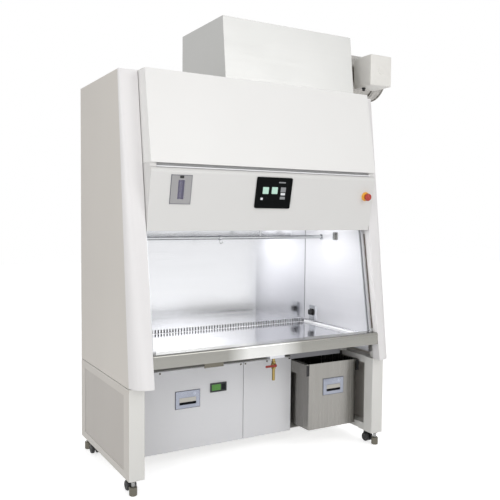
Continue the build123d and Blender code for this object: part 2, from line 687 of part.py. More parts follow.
def apron_outline(inset):
    """Closed (Y, Z) section of the armrest, rounded along its front top edge."""
    front = -APRON_FRONT + inset
    back = -APRON_FRONT + APRON_DEPTH - inset
    face = make_face(Polyline(
        (front, APRON_BOTTOM + inset), (front, APRON_TOP - inset), (back, APRON_TOP - inset),
        (back, APRON_BOTTOM + inset), close=True,
    ))
    corner = face.vertices().sort_by(Axis.Y)[-2:].sort_by(Axis.X)[0]
    return Plane.YZ * fillet(corner, APRON_EDGE_RADIUS - inset)


def front_apron():
    """Armrest folded from sheet: face, rounded edge, top and a slotted riser to the tray."""
    solid = prism_x(apron_outline(0), -WING_INNER, WING_INNER)
    hollow = prism_x(apron_outline(SHEET), -WING_INNER, WING_INNER)
    back = -APRON_FRONT + APRON_DEPTH
    under = block(-WING_INNER, WING_INNER, -APRON_FRONT + APRON_LIP, back, APRON_BOTTOM, APRON_BOTTOM + SHEET)
    below = block(-WING_INNER, WING_INNER, back - SHEET, back, APRON_BOTTOM, TRAY_HEIGHT)
    ends = [block(s * (HALF_CHAMBER - 3 * SHEET), s * WING_INNER, back - SHEET, back, APRON_BOTTOM, APRON_TOP - SHEET)
            for s in (-1, 1)]
    intake = [
        block(x - SLOT_WIDTH / 2, x + SLOT_WIDTH / 2, back - SHEET, back,
              TRAY_HEIGHT + SHEET, APRON_TOP - APRON_EDGE_RADIUS)
        for x in row(int(CHAMBER_WIDTH // (2 * SLOT_PITCH)), 2 * SLOT_PITCH)
    ]
    return [solid - hollow - under - below - ends - intake]


def ceiling_diffuser():
    """Perforated sheet under the supply filter, reduced to long slots."""
    front, back = sash_y(CEILING_HEIGHT) + PLENUM_GLASS_GAP, -BACK_WALL_Y
    plate = block(-HALF_CHAMBER, HALF_CHAMBER, front, back, CEILING_HEIGHT, CEILING_HEIGHT + SHEET)
    slot_length = -LAMP_Y + 2 * LAMP_RADIUS + SHEET - back
    cutter = [
        block(x - SLOT_WIDTH / 2, x + SLOT_WIDTH / 2, back + slot_length, back - SLOT_PITCH,
              CEILING_HEIGHT, CEILING_HEIGHT + SHEET)
        for x in row(int(CHAMBER_WIDTH // (2 * SLOT_PITCH)) - 1, 2 * SLOT_PITCH)
    ]
    return [plate - cutter]


def pleated_filter(x0, x1, y0, y1, z0, z1):
    """Filter cell: a box frame round a folded medium."""
    wall = FILTER_FRAME
    frame = block(x0, x1, y0, y1, z0, z1)
    frame -= block(x0 + wall, x1 - wall, y0 + wall, y1 - wall, z0, z1)
    count = int((y1 - y0 - 2 * wall) // PLEAT_PITCH)
    step = (y1 - y0 - 2 * wall) / count
    rim = 2 * SHEET
    upper, lower = [], []
    for index in range(count + 1):
        y = y0 + wall + index * step
        upper += [(y, z1 - 2 * rim)] + ([(y + step / 2, z0 + 2 * rim)] if index < count else [])
        lower += [(y, z1 - 3 * rim)] + ([(y + step / 2, z0 + rim)] if index < count else [])
    return frame + prism_x(upper + lower[::-1], x0 + wall, x1 - wall)


def supply_filter():
    front = sash_y(CEILING_HEIGHT) + PLENUM_GLASS_GAP + 4 * SHEET + FILTER_DEPTH * TILT_SLOPE
    low = CEILING_HEIGHT + SHEET
    return [pleated_filter(-HALF_CHAMBER, HALF_CHAMBER, front, -BACK_WALL_Y - SHEET, low, low + FILTER_DEPTH)]


def exhaust_filter():
    return [pleated_filter(EXHAUST_LEFT, EXHAUST_RIGHT, -EXHAUST_FILTER_FRONT, -EXHAUST_BACK_Y, PLENUM_DECK, ROOF_UNDER)]


def lower_filter():
    """First filter stage in its tray behind the door, standing on the shelf."""
    return [pleated_filter(
        LOWER_FILTER_LEFT, LOWER_FILTER_LEFT + LOWER_FILTER_WIDTH, -LOWER_FILTER_FRONT, -LOWER_FILTER_BACK,
        SHELF_TOP, SHELF_TOP + LOWER_FILTER_HEIGHT,
    )]


def chamber_lamp():
    """Lamp tube in two sockets under a hood, across the front of the ceiling."""
    z = CEILING_HEIGHT - LAMP_DROP
    half = LAMP_LENGTH / 2
    tube = bar_x(LAMP_RADIUS, -half, half, -LAMP_Y, z)
    hood = block(-half, half, -LAMP_Y - LAMP_RADIUS, -LAMP_Y + LAMP_RADIUS, z + LAMP_RADIUS, CEILING_HEIGHT)
    socket = block(-half - 2 * LAMP_RADIUS, -half, -LAMP_Y - LAMP_RADIUS, -LAMP_Y + LAMP_RADIUS,
                   z - LAMP_RADIUS, CEILING_HEIGHT)
    return [tube, hood] + both_sides(socket)


def hanging_rod():
    """Rod from wall to wall with end flanges, and a post from the ceiling."""
    rod = bar_x(ROD_RADIUS, -HALF_CHAMBER + ROD_FLANGE_THICKNESS, HALF_CHAMBER - ROD_FLANGE_THICKNESS,
                -ROD_Y, ROD_HEIGHT)
    flange = bar_x(ROD_FLANGE_RADIUS, -HALF_CHAMBER, -HALF_CHAMBER + ROD_FLANGE_THICKNESS, -ROD_Y, ROD_HEIGHT)
    post = bar_z(ROD_POST_RADIUS, ROD_HEIGHT, CEILING_HEIGHT, ROD_POST_X, -ROD_Y)
    post -= bar_x(ROD_RADIUS, -HALF_CHAMBER, HALF_CHAMBER, -ROD_Y, ROD_HEIGHT)
    collar = bar_z(ROD_FLANGE_RADIUS, CEILING_HEIGHT - ROD_FLANGE_THICKNESS, CEILING_HEIGHT, ROD_POST_X, -ROD_Y)
    return [rod, post + collar] + both_sides(flange)


def rod_hook():
    """Ring that slides on the rod, with an open hook below it."""
    wall = ROD_RADIUS / 2.5
    width = 1.2 * ROD_RADIUS
    ring = bar_x(ROD_RADIUS + wall, HOOK_X - width / 2, HOOK_X + width / 2, -ROD_Y, ROD_HEIGHT)
    ring -= bar_x(ROD_RADIUS + RUNNING_GAP, HOOK_X - width, HOOK_X + width, -ROD_Y, ROD_HEIGHT)
    top = ROD_HEIGHT - ROD_RADIUS - wall / 2
    neck = top - ROD_RADIUS
    bend = ROD_RADIUS
    path = Line((0, top), (0, neck)) + ThreePointArc((0, neck), (bend, neck - bend), (2 * bend, neck))
    return [ring + Pos(HOOK_X, -ROD_Y, 0) * hook_wire(path, wall)]


def hook_wire(path, diameter):
    """Round wire along a path in the XZ plane."""
    spine = Plane.XZ * path
    start = Plane(origin=spine @ 0, z_dir=spine % 0)
    return sweep(start * Circle(diameter / 2), path=spine)


def service_outlet():
    """Plate on the right wall with a rounded splash cover."""
    x = HALF_CHAMBER
    plate = block(x - OUTLET_DEPTH, x, -OUTLET_Y - OUTLET_WIDTH / 2, -OUTLET_Y + OUTLET_WIDTH / 2,
                  TRAY_HEIGHT + TRAY_CURB, TRAY_HEIGHT + TRAY_CURB + OUTLET_HEIGHT)
    plate = fillet(plate.edges().filter_by(Axis.X), OUTLET_DEPTH / 2)
    middle = TRAY_HEIGHT + TRAY_CURB + OUTLET_HEIGHT / 2
    cover = bar_x(OUTLET_WIDTH / 4, x - 3 * OUTLET_DEPTH, x - OUTLET_DEPTH, -OUTLET_Y, middle)
    return [plate, fillet(cover.edges().filter_by(GeomType.CIRCLE).sort_by(Axis.X)[0], OUTLET_DEPTH / 3)]


# ---- Sliding sash ----
def sash_glass():
    """Laminated glass pane, its edges in the guides."""
    half = HALF_CHAMBER - GLASS_EDGE_GAP
    pane = block(-half, half, -GLASS_THICKNESS / 2, GLASS_THICKNESS / 2, 0, SASH_LENGTH)
    return [sash_place() * pane]


def sash_rail_half():
    """Half length of the sash rails, which run between the guides."""
    return HALF_CHAMBER - GUIDE_WIDTH - SHEET


def sash_rails():
    """Bottom handle rail and top rail on the glass, with the two belt clamps."""
    half = sash_rail_half()
    depth = SASH_RAIL_DEPTH / 2
    pane = block(-half, half, -GLASS_THICKNESS / 2, GLASS_THICKNESS / 2, 0, SASH_LENGTH)
    cap = 2 * SHEET
    clamp_front = -belt_back_offset() + SEAT_GAP
    pieces = []
    for low, high in ((-cap, SASH_RAIL_HEIGHT), (SASH_LENGTH - SASH_RAIL_HEIGHT, SASH_LENGTH + cap)):
        rail = block(-half, half, -depth, depth, low, high)
        pieces.append(fillet(rail.edges().filter_by(Axis.X), depth / 4) - pane)
    for x in (-BELT_X, BELT_X):
        clamp = block(x - BELT_WIDTH, x + BELT_WIDTH, clamp_front, depth / 2,
                      SASH_LENGTH + cap / 2, SASH_LENGTH + CLAMP_HEIGHT)
        pieces[-1] += clamp
    return [sash_place() * piece for piece in pieces]


def shaft_ear(height):
    """Bearing block on the front of a guide, for a belt shaft's journal."""
    rise = (height - GUIDE_BOTTOM) / SASH_RISE
    size = JOURNAL_RADIUS + EAR_WALL
    axis = pulley_axis_offset()
    x0, x1 = EAR_GAP - HALF_CHAMBER, GUIDE_WIDTH - EAR_GAP - HALF_CHAMBER
    ear = block(x0, x1, axis - size, -GUIDE_DEPTH / 2, rise - size, rise + size)
    return ear - bar_x(JOURNAL_RADIUS + RUNNING_GAP, x0, x1, axis, rise)


def sash_guides():
    """Channels at the front edges of the side walls, with bearing ears for the belt shafts."""
    top = (GUIDE_TOP - GUIDE_BOTTOM) / SASH_RISE
    x1 = -HALF_CHAMBER + GUIDE_WIDTH
    groove = GLASS_THICKNESS / 2 + GROOVE_GAP
    channel = block(-HALF_CHAMBER, x1, -GUIDE_DEPTH / 2, GUIDE_DEPTH / 2, 0, top)
    channel -= block(-HALF_CHAMBER + 2 * SHEET, x1, -groove, groove, 0, top)
    channel += shaft_ear(DRIVE_HEIGHT) + shaft_ear(IDLER_HEIGHT)
    return both_sides(sash_place(GUIDE_BOTTOM) * channel)


def sash_belts():
    """Closed toothed belts, one at each side of the glass, on their pulleys."""
    span = (DRIVE_HEIGHT - IDLER_HEIGHT) / SASH_RISE
    outer = SlotCenterToCenter(span, 2 * (PULLEY_RADIUS + BELT_THICKNESS))
    ring = outer - SlotCenterToCenter(span, 2 * PULLEY_RADIUS)
    loop = extrude(ring, amount=BELT_WIDTH / 2, both=True)
    upright = Rot(0, -90, 0) * loop
    belt = Pos(-BELT_X, pulley_axis_offset(), span / 2) * upright
    return both_sides(sash_place(IDLER_HEIGHT) * belt)


def toothed_pulley(x):
    """Flanged pulley with tooth gaps, on the X axis."""
    half = BELT_WIDTH / 2 + SEAT_GAP
    rim = PULLEY_RADIUS - SEAT_GAP
    pulley = bar_x(rim, x - half, x + half, 0, 0)
    gap_depth = BELT_THICKNESS / 2
    gap = block(x - half, x + half, -gap_depth, gap_depth, rim - gap_depth, rim + gap_depth)
    pulley -= [Rot(index * 360 / PULLEY_TEETH, 0, 0) * gap for index in range(PULLEY_TEETH)]
    for edge in (x - half - SHEET, x + half):
        pulley += bar_x(PULLEY_RADIUS + 2 * BELT_THICKNESS, edge, edge + SHEET, 0, 0)
    return pulley


def pulley_shaft(radius, height):
    """Cross shaft with a pulley near each end and journals in the side walls."""
    body_end = HALF_CHAMBER - GUIDE_WIDTH
    journal_end = HALF_CHAMBER - EAR_GAP
    shaft = bar_x(radius, -body_end, body_end, 0, 0) + bar_x(JOURNAL_RADIUS, -journal_end, journal_end, 0, 0)
    shaft += toothed_pulley(-BELT_X) + toothed_pulley(BELT_X)
    y, z = belt_centre(height)
    return Pos(0, y, z) * shaft


def sash_drive_shaft():
    """Tube shaft that holds the tubular drive motor."""
    return [pulley_shaft(DRIVE_SHAFT_RADIUS, DRIVE_HEIGHT)]


def sash_idler_shaft():
    return [pulley_shaft(JOURNAL_RADIUS + SHEET, IDLER_HEIGHT)]


# ---- Head front ----
def hood_outline():
    """(Y, Z) outline of the service hood's side."""
    back_gap = 4 * PANEL_GAP
    shoulder = ROOF_UNDER - SEAT_GAP
    return [
        (-HOOD_TOP_Y, CABINET_HEIGHT), (-HOOD_BOTTOM_Y, HOOD_BOTTOM),
        (guide_edge(HOOD_BOTTOM) - back_gap, HOOD_BOTTOM), (guide_edge(shoulder) - back_gap, shoulder),
        (-HOOD_HINGE_Y, shoulder), (-HOOD_HINGE_Y, CABINET_HEIGHT),
    ]


def service_hood():
    """Hinged upper front: a pan with side, top and bottom flanges and hinge knuckles."""
    pan = prism_x(hood_outline(), -HEAD_HALF, HEAD_HALF)
    front_edges = pan.edges().filter_by(GeomType.LINE).filter_by(Plane.YZ).group_by(Axis.Y)[0]
    pan = fillet(front_edges, PANEL_EDGE_RADIUS)
    skin = SHEET / cos(atan2(HOOD_BOTTOM_Y - HOOD_TOP_Y, CABINET_HEIGHT - HOOD_BOTTOM))
    flange_back = -CHANNEL_BACK_Y - 2 * SHEET
    hollow = [
        (skin - HOOD_TOP_Y, CABINET_HEIGHT - SHEET), (skin - HOOD_BOTTOM_Y, HOOD_BOTTOM + SHEET),
        (flange_back, HOOD_BOTTOM + SHEET), (flange_back, HOOD_BOTTOM - SHEET),
        (0, HOOD_BOTTOM - SHEET), (0, CABINET_HEIGHT + SHEET), (-HOOD_HINGE_Y, CABINET_HEIGHT + SHEET),
        (-HOOD_HINGE_Y, CABINET_HEIGHT - SHEET),
    ]
    pan -= prism_x(hollow, SHEET - HEAD_HALF, HEAD_HALF - SHEET)
    centre_z = ROOF_UNDER - HOOD_KNUCKLE_RADIUS
    half = HOOD_KNUCKLE_LENGTH / 2
    lug_reach = half + 2 * SEAT_GAP + HOOD_KNUCKLE_RADIUS + SHEET
    for x in HOOD_HINGE_X:
        pan -= block(x - lug_reach, x + lug_reach, -HOOD_HINGE_Y - HOOD_KNUCKLE_RADIUS - SHEET, -HOOD_HINGE_Y,
                     ROOF_UNDER, CABINET_HEIGHT)
        knuckle = bar_x(HOOD_KNUCKLE_RADIUS, x - half, x + half, -HOOD_HINGE_Y, centre_z)
        knuckle += block(x - half, x + half, -HOOD_HINGE_Y - HOOD_KNUCKLE_RADIUS, -HOOD_HINGE_Y,
                         centre_z, CABINET_HEIGHT - SHEET)
        pan += knuckle
        pan -= bar_x(HOOD_PIN_RADIUS + RUNNING_GAP, x - half, x + half, -HOOD_HINGE_Y, centre_z)
    return [pan]


def control_panel_face(inset):
    """(Y, Z) section of the control panel's box, with its rounded nose."""
    lean = hypot(1, PANEL_LEAN)
    front = inset * lean
    back = guide_edge(PANEL_BOTTOM) - 2 * SHEET
    corner_y = panel_face_y(CHANNEL_BOTTOM)
    face = make_face(Polyline(
        (panel_face_y(PANEL_BOTTOM + inset) + front, PANEL_BOTTOM + inset),
        (panel_face_y(CHANNEL_BOTTOM - inset) + front, CHANNEL_BOTTOM - inset),
        (-CHANNEL_BACK_Y + inset, CHANNEL_BOTTOM - inset), (-CHANNEL_BACK_Y + inset, PANEL_TOP - inset),
        (guide_edge(PANEL_TOP) - 2 * SHEET, PANEL_TOP - inset), (back, PANEL_BOTTOM + inset), close=True,
    ))
    nose = face.vertices().sort_by(Axis.X)[0]
    return Plane.YZ * fillet(nose, PANEL_NOSE_RADIUS - inset)


def control_panel():
    """Folded control panel with its rounded nose, the finger channel and its end blocks."""
    shell = prism_x(control_panel_face(0), -HEAD_HALF, HEAD_HALF)
    hollow = prism_x(control_panel_face(SHEET), SHEET - HEAD_HALF, HEAD_HALF - SHEET)
    rear = prism_x([
        (-PANEL_LIP_Y, PANEL_BOTTOM - SHEET), (-PANEL_LIP_Y, PANEL_BOTTOM + 2 * SHEET),
        (-CHANNEL_BACK_Y + APRON_LIP, PANEL_TOP - 2 * SHEET), (-CHANNEL_BACK_Y + APRON_LIP, PANEL_TOP + SHEET),
        (0, PANEL_TOP + SHEET), (0, PANEL_BOTTOM - SHEET),
    ], SHEET - HEAD_HALF, HEAD_HALF - SHEET)
    panel = shell - hollow - rear
    shoulder = HEAD_HALF - SHEET - SEAT_GAP
    for side in (-1, 1):
        panel -= block(side * shoulder, side * HALF_WIDTH, -PANEL_NOSE_Y, 0, HOOD_BOTTOM - SEAT_GAP, PANEL_TOP)
    nose = panel_face_y(CHANNEL_BOTTOM) + PANEL_NOSE_RADIUS
    for side in (-1, 1):
        panel += block(side * (HEAD_HALF - CHANNEL_END), side * HEAD_HALF, nose, -CHANNEL_BACK_Y,
                       CHANNEL_BOTTOM, HOOD_BOTTOM - SEAT_GAP)
    body_x, body_y = SCREEN_WIDTH - 2 * SCREEN_BODY_MARGIN, SCREEN_TALL - 2 * SCREEN_BODY_MARGIN
    window_x, window_y = GAUGE_WINDOW_WIDTH + 2 * GAUGE_PLATE, GAUGE_WINDOW_TALL + 4 * GAUGE_PLATE
    panel -= panel_place(SCREEN_X, SCREEN_HEIGHT) * Box(body_x, body_y, SCREEN_PROUD)
    panel -= panel_place(GAUGE_X, GAUGE_HEIGHT) * Box(window_x, window_y, SCREEN_PROUD)
    panel -= panel_place(ESTOP_X, ESTOP_HEIGHT) * Cylinder(ESTOP_BARREL_RADIUS, SCREEN_PROUD)
    return [panel]


def plate_on_face(width, tall, low, high, corner):
    """Plate lying on a local face, with rounded outline corners."""
    return Pos(0, 0, low) * extrude(RectangleRounded(width, tall, corner), amount=high - low)


def touch_panel():
    """Operator screen: bezel with a sunk glass, and its housing behind the panel."""
    bezel = plate_on_face(SCREEN_WIDTH, SCREEN_TALL, 0, SCREEN_PROUD, SCREEN_PROUD)
    bezel = chamfer(bezel.faces().sort_by(Axis.Z)[-1].edges(), SHEET)
    margin = 2 * SCREEN_BODY_MARGIN
    bezel -= Pos(0, SCREEN_BODY_MARGIN / 2, SCREEN_PROUD) * Box(SCREEN_WIDTH - 2 * margin, SCREEN_TALL - 2 * margin, SHEET)
    housing = Pos(0, 0, -SCREEN_BODY_DEPTH) * extrude(
        Rectangle(SCREEN_WIDTH - margin, SCREEN_TALL - margin), amount=SCREEN_BODY_DEPTH)
    return [panel_place(SCREEN_X, SCREEN_HEIGHT) * (bezel + housing)]


def airflow_gauge():
    """Face plate with an upright window, a case behind it and the measuring tube."""
    plate = plate_on_face(GAUGE_WIDTH, GAUGE_TALL, 0, GAUGE_PLATE, GAUGE_PLATE)
    case_x, case_y = GAUGE_WINDOW_WIDTH + 2 * GAUGE_PLATE, GAUGE_WINDOW_TALL + 4 * GAUGE_PLATE
    case = Pos(0, 0, -GAUGE_BODY_DEPTH) * extrude(Rectangle(case_x, case_y), amount=GAUGE_BODY_DEPTH)
    window = Pos(0, 0, GAUGE_PLATE - GAUGE_BODY_DEPTH) * extrude(
        Rectangle(GAUGE_WINDOW_WIDTH, GAUGE_WINDOW_TALL), amount=GAUGE_BODY_DEPTH)
    tube = Rot(90, 0, 0) * (Cylinder(GAUGE_TUBE_RADIUS, GAUGE_WINDOW_TALL)
                            - Cylinder(GAUGE_TUBE_RADIUS - GAUGE_TUBE_WALL, GAUGE_WINDOW_TALL))
    place = panel_place(GAUGE_X, GAUGE_HEIGHT)
    return [place * (plate + case - window), place * Pos(0, 0, gauge_tube_depth()) * tube]


def gauge_tube_depth():
    """Height of the measuring tube's axis over the panel face (negative is behind it)."""
    return GAUGE_PLATE - GAUGE_TUBE_RADIUS - 2 * SHEET


def gauge_float():
    """Float of the measuring tube, resting low in the tube."""
    radius = GAUGE_TUBE_RADIUS - GAUGE_TUBE_WALL - SEAT_GAP
    body = turned([(0, -FLOAT_HEIGHT / 2), (radius / 3, -FLOAT_HEIGHT / 2), (radius, FLOAT_HEIGHT / 4),
                   (radius, FLOAT_HEIGHT / 2), (0, FLOAT_HEIGHT / 2)])
    local = Pos(0, -FLOAT_TRAVEL / 2, gauge_tube_depth()) * Rot(-90, 0, 0) * body
    return [panel_place(GAUGE_X, GAUGE_HEIGHT) * local]


def estop_collar():
    """Emergency stop base: collar, barrel through the panel and contact block."""
    bore = ESTOP_STEM_RADIUS + RUNNING_GAP
    deep = -2 * ESTOP_BARREL_RADIUS
    ring = turned([
        (bore, deep), (ESTOP_BARREL_RADIUS, deep), (ESTOP_BARREL_RADIUS, 0), (ESTOP_COLLAR_RADIUS, 0),
        (ESTOP_COLLAR_RADIUS - SHEET, ESTOP_COLLAR_HEIGHT - 2 * SHEET),
        (ESTOP_COLLAR_RADIUS - 3 * SHEET, ESTOP_COLLAR_HEIGHT), (bore, ESTOP_COLLAR_HEIGHT),
    ])
    contact_block = Pos(0, 0, deep - ESTOP_BARREL_RADIUS / 2) * Box(
        3 * ESTOP_BARREL_RADIUS, 3 * ESTOP_BARREL_RADIUS, ESTOP_BARREL_RADIUS)
    return [panel_place(ESTOP_X, ESTOP_HEIGHT) * (ring + contact_block)]


def estop_button():
    """Mushroom head on its stem."""
    neck = ESTOP_REACH - ESTOP_HEAD_HEIGHT
    stem_low = ESTOP_TRAVEL + 2 * SHEET - 2 * ESTOP_BARREL_RADIUS
    crown = ESTOP_HEAD_HEIGHT / 2
    head = turned([
        (0, stem_low), (ESTOP_STEM_RADIUS, stem_low), (ESTOP_STEM_RADIUS, neck), (ESTOP_HEAD_RADIUS - SHEET, neck),
        (ESTOP_HEAD_RADIUS, neck + SHEET), (ESTOP_HEAD_RADIUS, ESTOP_REACH), (0, ESTOP_REACH),
    ])
    head = fillet(head.edges().group_by(Axis.Z)[-1].sort_by(SortBy.LENGTH)[-1], crown)
    return [panel_place(ESTOP_X, ESTOP_HEIGHT) * head]


# ---- Latches, door and lower front ----
def latch_parts(x, face_y, height):
    """Flush latch on an upright face: plate with its pocket, spring paddle and key cylinder."""
    place = Pos(x, face_y, height) * Rot(90, 0, 0)
    wall = SHEET
    plate = plate_on_face(LATCH_WIDTH, LATCH_TALL, 0, LATCH_PROUD, LATCH_CORNER)
    plate = chamfer(plate.faces().sort_by(Axis.Z)[-1].edges(), wall / 2)
    at_pocket = Pos(0, POCKET_RISE, LATCH_PROUD - POCKET_DEPTH)
    case = at_pocket * extrude(Rectangle(POCKET_WIDTH, POCKET_TALL), amount=POCKET_DEPTH - wall)
    cavity = at_pocket * Pos(0, 0, wall) * extrude(
        Rectangle(POCKET_WIDTH - 2 * wall, POCKET_TALL - 2 * wall), amount=POCKET_DEPTH)
    barrel = Pos(KEY_X, KEY_RISE, LATCH_PROUD - POCKET_DEPTH) * extrude(
        Circle(KEY_RADIUS + 2 * wall), amount=POCKET_DEPTH - wall)
    keyway = Pos(KEY_X, KEY_RISE, LATCH_PROUD - POCKET_DEPTH) * extrude(
        Circle(KEY_RADIUS + RUNNING_GAP), amount=POCKET_DEPTH)
    pin_y = POCKET_RISE + POCKET_TALL / 2 - wall - PADDLE_PIN_RADIUS - 2 * SEAT_GAP
    pin_z = LATCH_PROUD - PADDLE_PIN_RADIUS - SEAT_GAP
    pin_reach = POCKET_WIDTH / 2 - wall / 2
    pin_hole = bar_x(PADDLE_PIN_RADIUS + RUNNING_GAP, -pin_reach, pin_reach, pin_y, pin_z)
    body = plate + case + barrel - cavity - keyway - pin_hole

    half = POCKET_WIDTH / 2 - wall - 2 * SEAT_GAP
    top_z = LATCH_PROUD - SEAT_GAP
    blade = block(-half, half, pin_y - PADDLE_TALL, pin_y, top_z - PADDLE_THICKNESS, top_z)
    grip = block(-half, half, pin_y - PADDLE_TALL, pin_y - PADDLE_TALL + wall,
                 top_z - 2 * PADDLE_THICKNESS, top_z)
    pin = bar_x(PADDLE_PIN_RADIUS, SEAT_GAP - pin_reach, pin_reach - SEAT_GAP, pin_y, pin_z)
    paddle = blade + grip + pin
    shank = Pos(0, 0, LATCH_PROUD - POCKET_DEPTH) * extrude(Circle(KEY_RADIUS), amount=POCKET_DEPTH)
    slot = Pos(0, 0, LATCH_PROUD) * Box(wall, KEY_RADIUS, 2 * wall)
    key = Pos(KEY_X, KEY_RISE, 0) * (shank - slot)
    return [place * body], [place * paddle], [place * key]


def latch_cutout(x, face_y, height):
    """Hole in a front sheet for the latch's pocket and key barrel."""
    place = Pos(x, face_y, height) * Rot(90, 0, 0)
    wall = SHEET
    depth = 2 * LATCH_PROUD
    pocket = Pos(0, POCKET_RISE, 0) * Box(POCKET_WIDTH, POCKET_TALL, depth)
    barrel = Pos(KEY_X, KEY_RISE, 0) * Cylinder(KEY_RADIUS + 2 * wall, depth)
    return place * (pocket + barrel)


def panel_pan(x0, x1):
    """Lower front pan: front sheet with folded edges."""
    back = -LOWER_FRONT_Y + DOOR_DEPTH
    pan = block(x0, x1, -LOWER_FRONT_Y, back, STAND_CLEARANCE, LOWER_TOP)
    return pan - block(x0 + SHEET, x1 - SHEET, SHEET - LOWER_FRONT_Y, back,
                       STAND_CLEARANCE + SHEET, LOWER_TOP - SHEET)


def door_pivot():
    """(X, Y) of the door's upright pivot axis."""
    return DOOR_LEFT + DOOR_GAP + DOOR_PIVOT_INSET, -LOWER_FRONT_Y + DOOR_DEPTH / 2


def filter_door():
    """Door of the filter compartment, with pivot pins at its left end."""
    door = panel_pan(DOOR_LEFT + DOOR_GAP, DOOR_RIGHT)
    door -= latch_cutout(DOOR_LATCH_X, -LOWER_FRONT_Y, DOOR_LATCH_HEIGHT)
    meter_hole = Box(METER_BODY_WIDTH, 2 * METER_PROUD, METER_BODY_TALL)
    door -= Pos(METER_X, -LOWER_FRONT_Y, METER_HEIGHT) * meter_hole
    x, y = door_pivot()
    door += bar_z(DOOR_PIVOT_RADIUS, pivot_bracket_heights()[0], SEAM_HEIGHT + TUBE_WALL, x, y)
    return [door]


def pressure_meter():
    """Flush panel meter: bezel with a sunk window, and its case."""
    bezel = plate_on_face(METER_WIDTH, METER_TALL, 0, METER_PROUD, SHEET)
    margin = METER_PROUD
    window = Pos(0, 0, METER_PROUD) * Box(METER_WIDTH - 2 * margin, METER_TALL - 2 * margin, 2 * SHEET)
    case = Pos(0, 0, -METER_BODY_DEPTH) * extrude(
        Rectangle(METER_BODY_WIDTH, METER_BODY_TALL), amount=METER_BODY_DEPTH)
    place = Pos(METER_X, -LOWER_FRONT_Y, METER_HEIGHT) * Rot(90, 0, 0)
    return [place * (bezel - window + case)]


def centre_panel():
    """Fixed pan between the door and the bin, with the return that walls off the bin."""
    pan = panel_pan(DOOR_RIGHT + DOOR_GAP, CENTRE_RIGHT)
    wall = block(CENTRE_RIGHT - SHEET, CENTRE_RIGHT, -LOWER_FRONT_Y, -ARM_REAR_Y, SHELF_TOP, LOWER_TOP)
    foot = block(CENTRE_RIGHT - DOOR_DEPTH, CENTRE_RIGHT, -LOWER_FRONT_Y + DOOR_DEPTH + PANEL_GAP, -ARM_REAR_Y,
                 SHELF_TOP, SHELF_TOP + SHEET)
    return [pan + wall + foot]


def bin_shell():
    """Open-topped stainless bin with rounded upright edges."""
    x0, x1 = BIN_LEFT, BIN_LEFT + BIN_WIDTH
    back = -BIN_FRONT + BIN_DEPTH
    outer = block(x0, x1, -BIN_FRONT, back, BIN_BOTTOM, BIN_TOP)
    outer = fillet(outer.edges().filter_by(Axis.Z), BIN_CORNER)
    inner = block(x0 + SHEET, x1 - SHEET, SHEET - BIN_FRONT, back - SHEET, BIN_BOTTOM + SHEET, BIN_TOP)
    inner = fillet(inner.edges().filter_by(Axis.Z), BIN_CORNER - SHEET)
    return outer - inner


def waste_bin():
    """Bin with side rims that hang on the arms, and the latch's cut-out."""
    shell = bin_shell()
    x0, x1 = BIN_LEFT, BIN_LEFT + BIN_WIDTH
    back = -BIN_FRONT + BIN_DEPTH
    for low, high in ((x0 - BIN_RIM, x0 + SHEET), (x1 - SHEET, x1 + BIN_RIM)):
        shell += block(low, high, -BIN_FRONT + BIN_CORNER, back - BIN_CORNER, BIN_TOP - SHEET, BIN_TOP)
    return [shell - latch_cutout(BIN_LEFT + BIN_WIDTH / 2, -BIN_FRONT, BIN_LATCH_HEIGHT)]


def bin_arms():
    """Folded arms on both sides of the bin, hung from the front bearer."""
    top = BIN_TOP - SHEET - SEAT_GAP
    inner = BIN_LEFT - PANEL_GAP
    outer = inner - ARM_WIDTH
    front = ARM_REACH - BIN_FRONT
    arm = block(outer, inner, front, -ARM_REAR_Y, top - ARM_HEIGHT, top)
    arm -= block(outer + SHEET, inner, front + SHEET, -ARM_REAR_Y, top - ARM_HEIGHT + SHEET, top - SHEET)
    hanger = block(outer, outer + SHEET, -LOWER_FRONT_Y, -LOWER_FRONT_Y + CROSS_RAIL_DEPTH,
                   top - ARM_HEIGHT, SEAM_HEIGHT)
    left = arm + hanger
    middle = Plane(origin=(BIN_LEFT + BIN_WIDTH / 2, 0, 0), x_dir=(0, 1, 0), z_dir=(1, 0, 0))
    return [left, mirror(left, about=middle)]


def drain_valve_body():
    """Ball valve screwed to the pan's drain: pipe, body, nuts and tail."""
    pipe = bar_z(VALVE_PIPE_RADIUS, VALVE_TAIL, BENCH_BASE, VALVE_X, -VALVE_Y)
    ball = Pos(VALVE_X, -VALVE_Y, VALVE_HEIGHT) * Sphere(VALVE_BALL_RADIUS)
    body = pipe + ball
    for z in (VALVE_HEIGHT - VALVE_BALL_RADIUS, VALVE_HEIGHT + VALVE_BALL_RADIUS):
        nut = extrude(RegularPolygon(VALVE_NUT_RADIUS, 6), amount=VALVE_PIPE_RADIUS / 2, both=True)
        body += Pos(VALVE_X, -VALVE_Y, z) * nut
    boss_end = -VALVE_Y - VALVE_BALL_RADIUS - VALVE_STEM_RADIUS
    body += bar_y(2 * VALVE_STEM_RADIUS, boss_end, -VALVE_Y, VALVE_X, VALVE_HEIGHT)
    bore = bar_z(VALVE_PIPE_RADIUS - SHEET, VALVE_TAIL, BENCH_BASE, VALVE_X, -VALVE_Y)
    socket = bar_y(VALVE_STEM_RADIUS + RUNNING_GAP, boss_end, boss_end + VALVE_BALL_RADIUS / 2,
                   VALVE_X, VALVE_HEIGHT)
    return [body - bore - socket]


